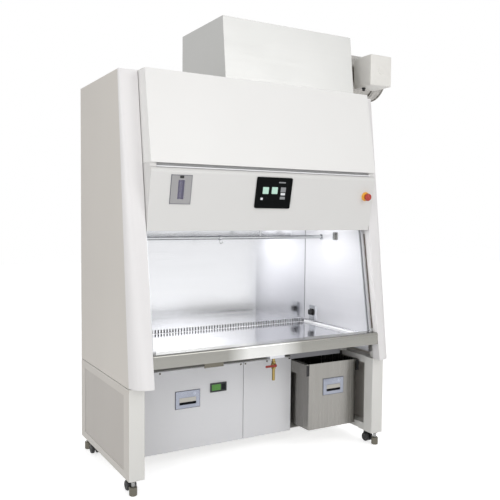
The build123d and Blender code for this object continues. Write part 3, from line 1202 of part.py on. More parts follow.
def drain_valve_lever():
    """Cranked lever on the valve's stem, across the pipe when shut."""
    boss_end = -VALVE_Y - VALVE_BALL_RADIUS - VALVE_STEM_RADIUS
    face = boss_end - SEAT_GAP
    stem = bar_y(VALVE_STEM_RADIUS, face - 2 * SHEET, boss_end + VALVE_BALL_RADIUS / 2 - SEAT_GAP,
                 VALVE_X, VALVE_HEIGHT)
    hub = bar_y(2 * VALVE_STEM_RADIUS, face - 2 * SHEET, face, VALVE_X, VALVE_HEIGHT)
    blade_half = VALVE_STEM_RADIUS * 3 / 2
    handle = block(VALVE_X - VALVE_LEVER_LENGTH, VALVE_X, face - 2 * SHEET, face,
                   VALVE_HEIGHT - blade_half, VALVE_HEIGHT + blade_half)
    handle = fillet(handle.edges().filter_by(Axis.Y).sort_by(Axis.X)[:2], blade_half * 2 / 3)
    return [stem + hub + handle]


# ---- Air handling ----
def pressure_plenum():
    """Fan deck and plenum walls: rear plate with the inlet ring, front plate, deck and motor spider."""
    low = CEILING_HEIGHT + SHEET
    plate = block(-HALF_CHAMBER, HALF_CHAMBER, -BACK_WALL_Y, SHEET - BACK_WALL_Y, low, PLENUM_DECK)
    plate -= bar_y(IMPELLER_EYE_RADIUS, -BACK_WALL_Y, SHEET - BACK_WALL_Y, 0, FAN_HEIGHT)
    lip_profile = [
        (IMPELLER_EYE_RADIUS, 0), (IMPELLER_EYE_RADIUS + FAN_PLATE_GAP / 2, 0),
        (IMPELLER_EYE_RADIUS + SHEET, FAN_PLATE_GAP / 2), (IMPELLER_EYE_RADIUS + SHEET, FAN_PLATE_GAP * 5 / 4),
        (IMPELLER_EYE_RADIUS, FAN_PLATE_GAP * 5 / 4),
    ]
    inlet = Pos(0, -BACK_WALL_Y, FAN_HEIGHT) * Rot(90, 0, 0) * turned(lip_profile)
    front_low, front_high = sash_y(low) + PLENUM_GLASS_GAP, sash_y(PLENUM_DECK) + PLENUM_GLASS_GAP
    front = prism_x([(front_low, low), (front_high, PLENUM_DECK), (front_high + SHEET, PLENUM_DECK),
                     (front_low + SHEET, low)], -HALF_CHAMBER, HALF_CHAMBER)
    deck = block(-HALF_CHAMBER, HALF_CHAMBER, front_high + SHEET, -BACK_WALL_Y, PLENUM_DECK - SHEET, PLENUM_DECK)
    rim = FILTER_FRAME
    deck -= block(EXHAUST_LEFT + rim, EXHAUST_RIGHT - rim, -EXHAUST_FILTER_FRONT + rim, -EXHAUST_BACK_Y - rim,
                  PLENUM_DECK - SHEET, PLENUM_DECK)
    return [plate + inlet, front, deck] + fan_spider()


def motor_face_y():
    """Y of the fixed motor flange in front of the impeller."""
    return -BACK_WALL_Y - FAN_PLATE_GAP - IMPELLER_WIDTH - FAN_PLATE_GAP


def fan_spider():
    """Four bars from the fan deck that hold the motor plate, motor and shaft."""
    face = motor_face_y()
    span = 2 * SPIDER_RADIUS + 4 * SPIDER_BAR_RADIUS
    plate = Pos(0, face, FAN_HEIGHT) * Rot(90, 0, 0) * extrude(
        RectangleRounded(span, MOTOR_RADIUS * 2, SPIDER_BAR_RADIUS), amount=2 * SHEET)
    cross = Pos(0, face, FAN_HEIGHT) * Rot(90, 0, 0) * extrude(
        RectangleRounded(MOTOR_RADIUS * 2, span, SPIDER_BAR_RADIUS), amount=2 * SHEET)
    frame = plate + cross
    for dx, dz in ((-SPIDER_RADIUS, 0), (SPIDER_RADIUS, 0), (0, -SPIDER_RADIUS), (0, SPIDER_RADIUS)):
        frame += bar_y(SPIDER_BAR_RADIUS, face, -BACK_WALL_Y, dx, FAN_HEIGHT + dz)
    frame += bar_y(MOTOR_RADIUS, face - MOTOR_LENGTH, face, 0, FAN_HEIGHT)
    frame += bar_y(MOTOR_SHAFT_RADIUS, face, face + FAN_PLATE_GAP + IMPELLER_WIDTH / 2, 0, FAN_HEIGHT)
    return [frame]


def impeller_blade(radius_in, radius_out):
    """Backward-curved blade section in the plane of the wheel."""
    outer = ThreePointArc((radius_in, 0), ((radius_in + radius_out) / 2, -radius_in / 4),
                          (radius_out * cos(radians(40)), -radius_out * sin(radians(40))))
    return make_face(offset_2d(outer))


def offset_2d(curve):
    """Closed outline of even thickness along a curve."""
    return offset(curve, amount=BLADE_THICKNESS / 2, side=Side.BOTH)


def impeller():
    """Backward-curved fan wheel: back plate with hub, blades and an inlet shroud."""
    hub_bore = MOTOR_SHAFT_RADIUS + RUNNING_GAP
    back = turned([
        (hub_bore, 0), (IMPELLER_RADIUS, 0), (IMPELLER_RADIUS, BLADE_THICKNESS),
        (IMPELLER_HUB_RADIUS / 2, BLADE_THICKNESS), (IMPELLER_HUB_RADIUS / 3, IMPELLER_WIDTH / 2),
        (hub_bore, IMPELLER_WIDTH / 2),
    ])
    eye = IMPELLER_EYE_RADIUS + SHEET + 2 * PANEL_GAP
    rim_height = IMPELLER_WIDTH * 3 / 4
    shroud = turned([
        (eye, IMPELLER_WIDTH), (eye + BLADE_THICKNESS, IMPELLER_WIDTH),
        (IMPELLER_RADIUS, rim_height + BLADE_THICKNESS), (IMPELLER_RADIUS, rim_height),
        (eye, IMPELLER_WIDTH - BLADE_THICKNESS),
    ])
    blade_height = rim_height + BLADE_THICKNESS / 2
    blade = extrude(impeller_blade(IMPELLER_HUB_RADIUS, IMPELLER_RADIUS - BLADE_THICKNESS), amount=blade_height)
    wheel = back + shroud
    for index in range(IMPELLER_BLADES):
        wheel += Rot(0, 0, index * 360 / IMPELLER_BLADES) * blade
    hub_face = motor_face_y() + FAN_PLATE_GAP
    return [Pos(0, hub_face, FAN_HEIGHT) * Rot(-90, 0, 0) * wheel]


# ---- Exhaust plenum and damper ----
def exhaust_plenum():
    """Sheet box over the exhaust filter, with a leaning front and the duct opening."""
    low, high = CABINET_HEIGHT, CABINET_HEIGHT + EXHAUST_HEIGHT

    def outline(inset, floor):
        return [
            (-EXHAUST_BACK_Y - inset, floor), (-EXHAUST_FRONT_BOTTOM_Y + inset, floor),
            (-EXHAUST_FRONT_TOP_Y + inset, high - inset), (-EXHAUST_BACK_Y - inset, high - inset),
        ]

    box = prism_x(outline(0, low), EXHAUST_LEFT, EXHAUST_RIGHT)
    box -= prism_x(outline(SHEET, low), EXHAUST_LEFT + SHEET, EXHAUST_RIGHT - SHEET)
    return [box - bar_x(DUCT_RADIUS, EXHAUST_RIGHT - SHEET, EXHAUST_RIGHT, -DUCT_Y, DUCT_HEIGHT)]


def damper_body():
    """Round duct with its flange, stiffening bead, lipped end and shaft bosses."""
    start = EXHAUST_RIGHT - SHEET
    duct = bar_x(DUCT_RADIUS, start, DUCT_END, -DUCT_Y, DUCT_HEIGHT)
    duct += bar_x(DUCT_RADIUS + DUCT_FLANGE_WIDTH, EXHAUST_RIGHT, EXHAUST_RIGHT + 2 * SHEET, -DUCT_Y, DUCT_HEIGHT)
    for x in (DUCT_BEAD_X, DUCT_END - DUCT_BEAD):
        duct += bar_x(DUCT_RADIUS + DUCT_BEAD, x, x + DUCT_BEAD, -DUCT_Y, DUCT_HEIGHT)
    boss_out = DUCT_RADIUS + DUCT_BEAD
    duct += bar_y(DAMPER_BOSS_RADIUS, -DUCT_Y - boss_out, -DUCT_Y + boss_out, DAMPER_X, DUCT_HEIGHT)
    duct += bar_x(DUCT_SOCKET_RADIUS + SHEET, DUCT_END - DUCT_SOCKET_DEPTH, DUCT_END, -DUCT_Y, DUCT_HEIGHT)
    duct -= bar_x(DUCT_INNER_RADIUS, start, DUCT_END, -DUCT_Y, DUCT_HEIGHT)
    duct -= bar_x(DUCT_SOCKET_RADIUS, DUCT_END - DUCT_SOCKET_DEPTH, DUCT_END, -DUCT_Y, DUCT_HEIGHT)
    duct -= bar_y(DAMPER_SHAFT_RADIUS + RUNNING_GAP, -DUCT_Y - boss_out, -DUCT_Y + boss_out, DAMPER_X, DUCT_HEIGHT)
    return [duct]


def damper_blade():
    """Round blade on its shaft, open (level) at rest."""
    disc = Pos(DAMPER_X, -DUCT_Y, DUCT_HEIGHT) * Cylinder(DUCT_INNER_RADIUS - DAMPER_GAP, DAMPER_BLADE)
    front = -ACTUATOR_FRONT + ACTUATOR_DEPTH - 2 * DAMPER_SHAFT_RADIUS
    shaft = bar_y(DAMPER_SHAFT_RADIUS, front, -DUCT_Y + DUCT_RADIUS, DAMPER_X, DUCT_HEIGHT)
    return [disc + shaft]


def damper_actuator():
    """Drive box in front of the duct, with its hub socket and the bracket to the duct."""
    back = -ACTUATOR_FRONT + ACTUATOR_DEPTH
    z0 = ACTUATOR_HEIGHT - ACTUATOR_TALL / 2
    half = ACTUATOR_WIDTH / 2
    box = block(DAMPER_X - half, DAMPER_X + half, -ACTUATOR_FRONT, back, z0, z0 + ACTUATOR_TALL)
    box = fillet(box.edges(), ACTUATOR_EDGE_RADIUS)
    socket = bar_y(DAMPER_SHAFT_RADIUS + RUNNING_GAP, back - 3 * DAMPER_SHAFT_RADIUS, back, DAMPER_X, DUCT_HEIGHT)
    bracket_half = DAMPER_BOSS_RADIUS
    bracket = block(DAMPER_X - bracket_half, DAMPER_X + bracket_half, back, -DUCT_Y,
                    DUCT_HEIGHT - ACTUATOR_TALL / 2, DUCT_HEIGHT - 2 * DAMPER_BOSS_RADIUS)
    bracket -= bar_x(DUCT_RADIUS, DAMPER_X - 2 * bracket_half, DAMPER_X + 2 * bracket_half, -DUCT_Y, DUCT_HEIGHT)
    return [box - socket, bracket]


# ---- Feet and casters ----
def levelling_foot(x, y):
    """Turned foot with a chamfered pad, hexagon and stem up to the stand."""
    chamfered = FOOT_RADIUS - 2 * SHEET
    foot = turned([
        (0, 0), (chamfered, 0), (FOOT_RADIUS, 2 * SHEET), (FOOT_RADIUS, FOOT_HEIGHT - 2 * SHEET),
        (chamfered, FOOT_HEIGHT), (FOOT_STEM_RADIUS, FOOT_HEIGHT), (FOOT_STEM_RADIUS, STAND_CLEARANCE),
        (0, STAND_CLEARANCE),
    ])
    nut = Pos(0, 0, STAND_CLEARANCE - FOOT_STEM_RADIUS) * extrude(
        RegularPolygon(2 * FOOT_STEM_RADIUS, 6), amount=FOOT_STEM_RADIUS)
    return Pos(x, y, 0) * (foot + nut)


def levelling_feet():
    return [levelling_foot(x, -y) for y in (FRONT_FOOT_Y, REAR_FOOT_Y) for x in (-FOOT_X, FOOT_X)]


def caster_places():
    """Swivel axis (X, Y) of each caster by its corner."""
    front, rear = -FRONT_FOOT_Y + CASTER_OFFSET, -REAR_FOOT_Y - CASTER_OFFSET
    return {
        "front_left": (-CASTER_X, front), "front_right": (CASTER_X, front),
        "rear_left": (-CASTER_X, rear), "rear_right": (CASTER_X, rear),
    }


def caster_fork(x, y):
    """Swivelling hub of a twin-wheel caster, with its kingpin, hood and axle."""
    axle_z = CASTER_WHEEL_RADIUS + CASTER_FLOOR_GAP
    top = STAND_CLEARANCE - CASTER_PLATE - SEAT_GAP
    half = CASTER_HUB_WIDTH / 2
    hood_radius = CASTER_HUB_WIDTH + 2 * SHEET
    cap = turned([
        (0, top), (hood_radius, top), (hood_radius, top - PANEL_GAP),
        (half, 2 * CASTER_WHEEL_RADIUS + CASTER_FLOOR_GAP), (0, 2 * CASTER_WHEEL_RADIUS + CASTER_FLOOR_GAP),
    ])
    web = block(-half, half, -CASTER_TRAIL - half, half, axle_z - half, top - PANEL_GAP)
    axle_reach = half + CASTER_WHEEL_WIDTH
    axle = bar_x(CASTER_AXLE_RADIUS, -axle_reach, axle_reach, -CASTER_TRAIL, axle_z)
    kingpin = bar_z(KINGPIN_RADIUS, top, STAND_CLEARANCE - SEAT_GAP, 0, 0)
    return [Pos(x, y, 0) * (cap + web + axle + kingpin)]


def caster_wheels(x, y):
    """Twin wheels on the caster's axle, with rounded treads and dished faces."""
    axle_z = CASTER_WHEEL_RADIUS + CASTER_FLOOR_GAP
    bore = CASTER_AXLE_RADIUS + RUNNING_GAP
    dish = CASTER_WHEEL_RADIUS * 2 / 3
    wheel = turned([
        (bore, 0), (CASTER_WHEEL_RADIUS - SHEET, 0), (CASTER_WHEEL_RADIUS, SHEET),
        (CASTER_WHEEL_RADIUS, CASTER_WHEEL_WIDTH - 2 * PANEL_GAP),
        (CASTER_WHEEL_RADIUS - PANEL_GAP, CASTER_WHEEL_WIDTH - SHEET),
        (dish, CASTER_WHEEL_WIDTH), (dish - SHEET, CASTER_WHEEL_WIDTH - SHEET), (bore, CASTER_WHEEL_WIDTH - SHEET),
    ])
    gap = CASTER_HUB_WIDTH / 2 + SEAT_GAP
    right = Pos(gap, 0, 0) * Rot(0, 90, 0) * wheel
    centre = Pos(x, y - CASTER_TRAIL, axle_z)
    return [centre * right, centre * mirror(right, about=Plane.YZ)]


# ---- Writing the nodes ----
def nodes():
    """Every node's name and its pieces."""
    parts = {
        maker.__name__: maker() for maker in (
            stand_frame, lower_side_panels, upper_side_panels, wings, rear_panels, head_top_panel,
            chamber_back_wall, chamber_side_walls, work_tray, drain_pan, front_apron, ceiling_diffuser,
            supply_filter, exhaust_filter, lower_filter, chamber_lamp, hanging_rod, rod_hook, service_outlet,
            sash_glass, sash_rails, sash_guides, sash_belts, sash_drive_shaft, sash_idler_shaft,
            service_hood, control_panel, touch_panel, airflow_gauge, gauge_float, estop_collar, estop_button,
            filter_door, pressure_meter, centre_panel, waste_bin, bin_arms, drain_valve_body,
            drain_valve_lever, pressure_plenum, impeller, exhaust_plenum, damper_body, damper_blade,
            damper_actuator, levelling_feet,
        )
    }
    latches = {
        "door": (DOOR_LATCH_X, -LOWER_FRONT_Y, DOOR_LATCH_HEIGHT),
        "bin": (BIN_LEFT + BIN_WIDTH / 2, -BIN_FRONT, BIN_LATCH_HEIGHT),
    }
    for owner, place in latches.items():
        plate, paddle, key = latch_parts(*place)
        parts[f"{owner}_latch_plate"] = plate
        parts[f"{owner}_latch_paddle"] = paddle
        parts[f"{owner}_key_cylinder"] = key
    for corner, (x, y) in caster_places().items():
        parts[f"caster_fork_{corner}"] = caster_fork(x, y)
        parts[f"caster_wheels_{corner}"] = caster_wheels(x, y)
    return parts


def write(node, pieces):
    """Move a node's pieces to the origin of the whole object and write its STEP file."""
    place = Pos(-ORIGIN_X, -ORIGIN_Y, 0)
    solids = [place * solid for piece in pieces for solid in piece.solids()]
    shape = solids[0] if len(solids) == 1 else Compound(children=solids)
    shape.label = node
    export_step(shape, f"parts/{node}.step")


os.makedirs("parts", exist_ok=True)
for name, pieces in nodes().items():
    write(name, pieces)
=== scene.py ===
"""Finishes, small fittings and a plain studio for the biological safety cabinet."""
import json
from math import cos, pi, radians, sin

import bmesh
import bpy
from mathutils import Matrix, Vector


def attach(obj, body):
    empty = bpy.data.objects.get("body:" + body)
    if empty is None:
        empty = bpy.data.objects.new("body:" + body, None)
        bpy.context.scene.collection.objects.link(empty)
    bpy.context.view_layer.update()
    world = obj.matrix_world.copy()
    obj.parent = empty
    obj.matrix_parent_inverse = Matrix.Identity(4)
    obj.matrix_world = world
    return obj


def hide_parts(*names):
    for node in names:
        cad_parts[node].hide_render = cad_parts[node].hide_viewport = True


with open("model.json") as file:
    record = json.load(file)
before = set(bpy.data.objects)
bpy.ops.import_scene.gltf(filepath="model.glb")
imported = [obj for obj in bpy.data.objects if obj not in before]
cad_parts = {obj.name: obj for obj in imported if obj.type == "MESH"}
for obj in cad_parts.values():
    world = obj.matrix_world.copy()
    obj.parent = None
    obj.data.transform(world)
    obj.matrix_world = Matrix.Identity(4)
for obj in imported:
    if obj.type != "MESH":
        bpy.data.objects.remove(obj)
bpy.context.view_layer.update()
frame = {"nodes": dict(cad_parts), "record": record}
NODES = frame["nodes"]

MM = 0.001
# The cabinet's own zero (middle of the width, rear face, floor) seen from the frame's origin, metres
CABINET_ORIGIN = Vector((-0.088, 0.415, 0.0))

# Faces and heights of the cabinet that the fittings sit on, in its own millimetres
SIDE_FACE, REAR_FACE, ROOF = 750.0, 0.0, 1960.0
PLENUM_REAR = -150.0
WALL_FACE, BACK_WALL_FACE, TRAY_TOP = 650.0, -117.0, 621.5      # inside the chamber
LOWER_FRONT, LOWER_SCREW_LINE = -485.0, 487.0                   # filter door and middle panel
BIN_FRONT, BIN_ARM_FRONT = -639.0, -637.0
PAN_FLOOR, PAN_SHELF, PAN_STEP = 541.0, 601.0, -598.0           # deep part, shallow part, the step between
DRIVE_FACE, DRIVE_X, DRIVE_HEIGHT = -696.0, 743.5, 2103.0       # damper actuator
FOOT_X, FRONT_FOOT_Y, REAR_FOOT_Y = 720.0, -727.0, -24.0
PANEL_LEAN = 60.0 / 293.0       # the control panel leans forward by this for each unit of height
PANEL_FOOT = (-716.0, 1215.0)   # Y and Z of its lower edge
SASH_TILT = radians(9.22)
SASH_POINT = (-665.0, 1203.0)   # Y and Z of a point on the glass plane


# ---- Places ----
def at(x, y, z):
    """A point given in the cabinet's own millimetres, in the frame's metres."""
    return Vector((x, y, z)) * MM + CABINET_ORIGIN


def placed(x, y, z, turn=Matrix.Identity(3)):
    """A place in the cabinet's millimetres, turned."""
    return Matrix.Translation(at(x, y, z)) @ turn.to_4x4()


def facing(direction, up=(0, 0, 1)):
    """Turn whose local Z points along a direction and whose local Y is near up."""
    z = Vector(direction).normalized()
    x = Vector(up).cross(z).normalized()
    return Matrix((x, z.cross(x), z)).transposed()


FRONT = facing((0, -1, 0))
BACK = facing((0, 1, 0))
LEFT = facing((-1, 0, 0))
RIGHT = facing((1, 0, 0))
UP = facing((0, 0, 1), (0, 1, 0))
DOWN = facing((0, 0, -1), (0, 1, 0))
PANEL = facing((0, -1, -PANEL_LEAN))


def on_panel(x, height, proud=0.0):
    """Place on the control panel's leaning face."""
    y = PANEL_FOOT[0] - (height - PANEL_FOOT[1]) * PANEL_LEAN
    out = PANEL @ Vector((0, 0, proud))
    return placed(x + out.x, y + out.y, height + out.z, PANEL)


def on_sash(x, height, ahead=0.0):
    """Place on the glass plane: local Z forwards, local Y up the slope."""
    turn = facing((0, -cos(SASH_TILT), sin(SASH_TILT)))
    y = SASH_POINT[0] + (height - SASH_POINT[1]) * sin(SASH_TILT) / cos(SASH_TILT)
    out = turn @ Vector((0, 0, ahead))
    return placed(x + out.x, y + out.y, height + out.z, turn)


def moved(place, x=0.0, y=0.0, z=0.0):
    """A place shifted in its own directions, millimetres."""
    return place @ Matrix.Translation((x * MM, y * MM, z * MM))


# ---- Shader maths ----
class Value:
    """A node's output that Python's operators carry on with Math nodes."""

    def __init__(self, network, socket):
        self.network, self.socket = network, socket

    def math(self, operation, *others, clamp=False):
        values = dict(enumerate((self, *others)))
        return self.network.node("ShaderNodeMath", {"operation": operation, "use_clamp": clamp}, values)

    def __add__(self, other):
        return self.math("ADD", other)

    __radd__ = __add__

    def __mul__(self, other):
        return self.math("MULTIPLY", other)

    __rmul__ = __mul__

    def __sub__(self, other):
        return self.math("SUBTRACT", other)

    def __rsub__(self, other):
        return (self * -1.0) + other

    def over(self, limit):
        return self.math("GREATER_THAN", limit)


class Network:
    """The nodes of a material or of the world, emptied to start with."""

    def __init__(self, owner):
        owner.use_nodes = True
        self.tree = owner.node_tree
        self.tree.nodes.clear()

    def node(self, kind, settings=None, sockets=None, output=0):
        """Add a node, set it up, then fill or link its sockets."""
        made = self.tree.nodes.new(kind)
        for key, value in (settings or {}).items():
            setattr(made, key, value)
        for key, value in (sockets or {}).items():
            if isinstance(value, Value):
                self.tree.links.new(value.socket, made.inputs[key])
            else:
                made.inputs[key].default_value = value
        return Value(self, made.outputs[output] if made.outputs else None)

    def seen(self):
        """One for the rays that bring the backdrop into the view, straight, mirrored or through glass."""
        camera, glossy, through = (self.node("ShaderNodeLightPath", output=f"Is {kind} Ray")
                                   for kind in ("Camera", "Glossy", "Transmission"))
        return camera + glossy + through


class Finish(Network):
    """One procedural material on object coordinates."""

    def __init__(self, name, **constants):
        self.material = bpy.data.materials.new(name)
        super().__init__(self.material)
        self.shader = self.tree.nodes.new("ShaderNodeBsdfPrincipled")
        output = self.tree.nodes.new("ShaderNodeOutputMaterial")
        self.tree.links.new(self.shader.outputs[0], output.inputs["Surface"])
        self.place = self.node("ShaderNodeTexCoord", output="Object")
        for socket, value in constants.items():
            self.give(socket, value)

    def give(self, socket, value):
        """Set a shader socket by its name with underscores for spaces."""
        target = self.shader.inputs[socket.replace("_", " ")]
        if isinstance(value, Value):
            self.tree.links.new(value.socket, target)
        elif target.type == "RGBA" and len(value) == 3:
            target.default_value = (*value, 1)
        else:
            target.default_value = value

    def stretched(self, scale):
        return self.node("ShaderNodeMapping", {}, {"Vector": self.place, "Scale": scale})

    def noise(self, scale, detail=3.0, roughness=0.5, where=None):
        """Noise from 0 to 1, about one half."""
        return self.node("ShaderNodeTexNoise", {}, {
            "Vector": where or self.place, "Scale": scale, "Detail": detail, "Roughness": roughness})

    def blend(self, share, low, high):
        """A colour between two colours."""
        return self.node("ShaderNodeMix", {"data_type": "RGBA"}, {0: share, 6: as_colour(low), 7: as_colour(high)},
                         output=2)

    def bump(self, height, distance, strength):
        return self.node("ShaderNodeBump", {}, {"Height": height, "Distance": distance, "Strength": strength})

    def axis(self, letter):
        return self.node("ShaderNodeSeparateXYZ", {}, {0: self.place}, output=letter)


def as_colour(value):
    return value if isinstance(value, Value) or len(value) == 4 else (*value, 1)


def tone(red, green, blue):
    """Screen colour, 0 to 255, as a linear colour."""
    parts = (part / 255 for part in (red, green, blue))
    return tuple(part / 12.92 if part <= 0.04045 else ((part + 0.055) / 1.055) ** 2.4 for part in parts)


def darker(colour, share):
    return tuple(part * share for part in colour)


# ---- Finishes ----
SIDE_EDGE = 1.2         # an outer side's own tone starts this far inside its face
ACROSS, DEEP, UPRIGHT = (1, 0, 0), (0, 1, 0), (0, 0, 1)   # way the brushing runs


def brushing(steel, grain, fine_scale, along):
    """Streaks along the grain: fine_scale across them and a slower scale along."""
    return steel.stretched(tuple(fine_scale if part == 0 else along for part in grain))


def clouded(finish, clouds, colour):
    """A paint colour that drifts a little darker and lighter."""
    return finish.blend(clouds, darker(colour, 0.965), darker(colour, 1.03))


def powder_coat(name, colour, roughness=0.42, sides=None):
    """Sprayed powder coat: orange peel, clouding, handling marks, darker in patches near the floor; outer sides may
    differ.
    """
    paint = Finish(name, Specular_IOR_Level=0.42)
    clouds = paint.noise(1.7, 2.0)
    wipes = paint.noise(5.0, 4.0, 0.6, paint.stretched((1.0, 1.0, 0.25)))
    height = paint.axis("Z")
    # darker in patches within about half a metre of the floor
    low_darkening = (1.0 - height.math("MULTIPLY", 2.2, clamp=True)) * (wipes * 0.5 + 0.25)
    base = clouded(paint, clouds, colour)
    if sides:
        outer = (paint.axis("X") - CABINET_ORIGIN.x).math("ABSOLUTE").over((SIDE_FACE - SIDE_EDGE) * MM)
        base = paint.blend(outer, base, clouded(paint, clouds, sides))
    paint.give("Base_Color", paint.blend(low_darkening * 0.35, base, darker(colour, 0.86)))
    paint.give("Roughness", wipes * 0.14 + clouds * 0.05 + (roughness - 0.09))
    texture = paint.noise(620.0, 2.0) + paint.noise(150.0, 1.0) * 0.6
    paint.give("Normal", paint.bump(texture, 0.00006, 0.55))
    return paint


def brushed_sheet(name, colour, grain, roughness=0.3, depth=1.0, contrast=0.05, metallic=1.0, painted_highlight=None,
                  painted_dark_reflection=None):
    """Brushed sheet with fine scratches along the grain, broad bands and smears, lengths in millimetres.

    The highlight is a painted one, a bright stretch along X that stands for a reflection: its middle, half its
    length, its soft ends and its colour.
    The dark reflection is painted: an X beyond which and a height below which the sheet is greyer, and that grey."""
    steel = Finish(name, Metallic=metallic, Specular_IOR_Level=0.5)
    fine = steel.noise(1.0, 3.0, 0.65, brushing(steel, grain, 1800.0, 9.0))
    broad = steel.noise(1.0, 2.0, 0.5, brushing(steel, grain, 70.0, 1.6))
    smear = steel.noise(3.2, 4.0, 0.6)
    share = fine * 0.55 + broad * 0.45
    base = steel.blend(share, darker(colour, 1 - 2 * contrast), darker(colour, 1 + contrast))
    # painted highlight: a bright band along X in place of a reflection
    if painted_highlight:
        middle, half, soft, bright = painted_highlight
        away = (steel.axis("X") + smear * 0.06 - (middle * MM + CABINET_ORIGIN.x + 0.03)).math("ABSOLUTE")
        base = steel.blend(((half + soft) * MM - away).math("DIVIDE", soft * MM, clamp=True), base, bright)
    # painted reflection: greyer beyond an X and below a height
    if painted_dark_reflection:
        edge, top, grey = painted_dark_reflection
        beyond = (steel.axis("X") - (edge * MM + CABINET_ORIGIN.x)).math("MULTIPLY", 60.0, clamp=True)
        below = (top * MM - steel.axis("Z") + smear * 0.1).math("MULTIPLY", 4.0, clamp=True)
        base = steel.blend(beyond * below, base, grey)
    steel.give("Base_Color", base)
    steel.give("Roughness", fine * 0.16 + broad * 0.10 + smear * 0.10 + (roughness - 0.18))
    steel.give("Normal", steel.bump(fine + broad * 0.4, 0.00005 * depth, 0.5))
    return steel


def plated(name, colour, roughness=0.16):
    """Plated or turned metal with light scuffs."""
    metal = Finish(name, Metallic=1.0)
    scuff = metal.noise(85.0, 4.0, 0.7)
    broad = metal.noise(9.0, 2.0)
    metal.give("Base_Color", metal.blend(broad, darker(colour, 0.9), darker(colour, 1.04)))
    metal.give("Roughness", scuff * 0.16 + broad * 0.06 + (roughness - 0.1))
    metal.give("Normal", metal.bump(scuff, 0.00004, 0.4))
    return metal


def latch_plating(name, face):
    """Plated latch plate with painted shade inside its pocket, which lies behind the face's Y: dark and duller
    there.
    """
    metal = Finish(name, Metallic=1.0)
    scuff = metal.noise(85.0, 4.0, 0.7)
    broad = metal.noise(9.0, 2.0)
    # painted shade: the pocket behind the face turns dark
    deep = (metal.axis("Y") - (face * MM + CABINET_ORIGIN.y)).math("MULTIPLY", 700.0, clamp=True)
    plate = metal.blend(broad, tone(136, 140, 152), tone(160, 164, 176))
    metal.give("Base_Color", metal.blend(deep, plate, tone(46, 46, 50)))
    metal.give("Roughness", scuff * 0.16 + broad * 0.06 + deep * 0.25 + 0.14)
    metal.give("Normal", metal.bump(scuff, 0.00004, 0.4))
    return metal


def moulded(name, colour, roughness=0.45, grain=1.0, reflects=0.45, **constants):
    """Moulded plastic with a spark-eroded grain and rubbed high spots."""
    plastic = Finish(name, Specular_IOR_Level=reflects, **constants)
    speck = plastic.noise(900.0, 2.0)
    rub = plastic.noise(22.0, 4.0, 0.6)
    plastic.give("Base_Color", plastic.blend(rub, darker(colour, 0.92), darker(colour, 1.05)))
    plastic.give("Roughness", rub * 0.14 + speck * 0.06 + (roughness - 0.1))
    plastic.give("Normal", plastic.bump(speck, 0.00005 * grain, 0.5))
    return plastic


def zinc_sheet(name):
    """Galvanised sheet with spangle."""
    zinc = Finish(name, Metallic=1.0)
    spangle = zinc.node("ShaderNodeTexVoronoi", {}, {"Vector": zinc.place, "Scale": 90.0}, output="Color")
    grey = zinc.node("ShaderNodeSeparateColor", {}, {0: spangle})
    zinc.give("Base_Color", zinc.blend(grey, tone(150, 148, 144), tone(184, 181, 177)))
    zinc.give("Roughness", grey * 0.18 + zinc.noise(6.0) * 0.12 + 0.28)
    zinc.give("Normal", zinc.bump(grey, 0.00004, 0.4))
    return zinc


def clear_glass(name, colour, alpha):
    """Thin pane: mostly clear, with faint wiping streaks."""
    glass = Finish(name, IOR=1.5, Specular_IOR_Level=0.6)
    streak = glass.noise(6.0, 4.0, 0.6, glass.stretched((4.0, 1.0, 1.0)))
    glass.give("Base_Color", glass.blend(streak, colour, darker(colour, 0.96)))
    glass.give("Roughness", streak * 0.06 + 0.02)
    glass.give("Alpha", streak * 0.05 + alpha)
    glass.give("Normal", glass.bump(streak, 0.00002, 0.2))
    return glass


def lit(name, colour, strength, rest=None):
    """Something that shines, such as a lamp tube or a lit tile."""
    glow = Finish(name, Emission_Strength=strength)
    cloud = glow.noise(45.0, 2.0)
    glow.give("Base_Color", glow.blend(cloud, darker(rest or colour, 0.94), rest or colour))
    glow.give("Emission_Color", glow.blend(cloud, darker(colour, 0.92), colour))
    glow.give("Roughness", cloud * 0.1 + 0.25)
    return glow


def pleated_paper(name):
    """Glass-fibre filter paper with separators and a soft fibre mottle."""
    paper = Finish(name, Specular_IOR_Level=0.2)
    fibre = paper.noise(420.0, 4.0, 0.7)
    lines = (paper.axis("X") * 900.0).math("SINE") * 0.5 + 0.5
    paper.give("Base_Color", paper.blend(fibre * 0.6 + lines * 0.2, tone(214, 213, 206), tone(243, 242, 236)))
    paper.give("Roughness", fibre * 0.15 + 0.75)
    paper.give("Normal", paper.bump(fibre + lines * 0.5, 0.0002, 0.6))
    return paper


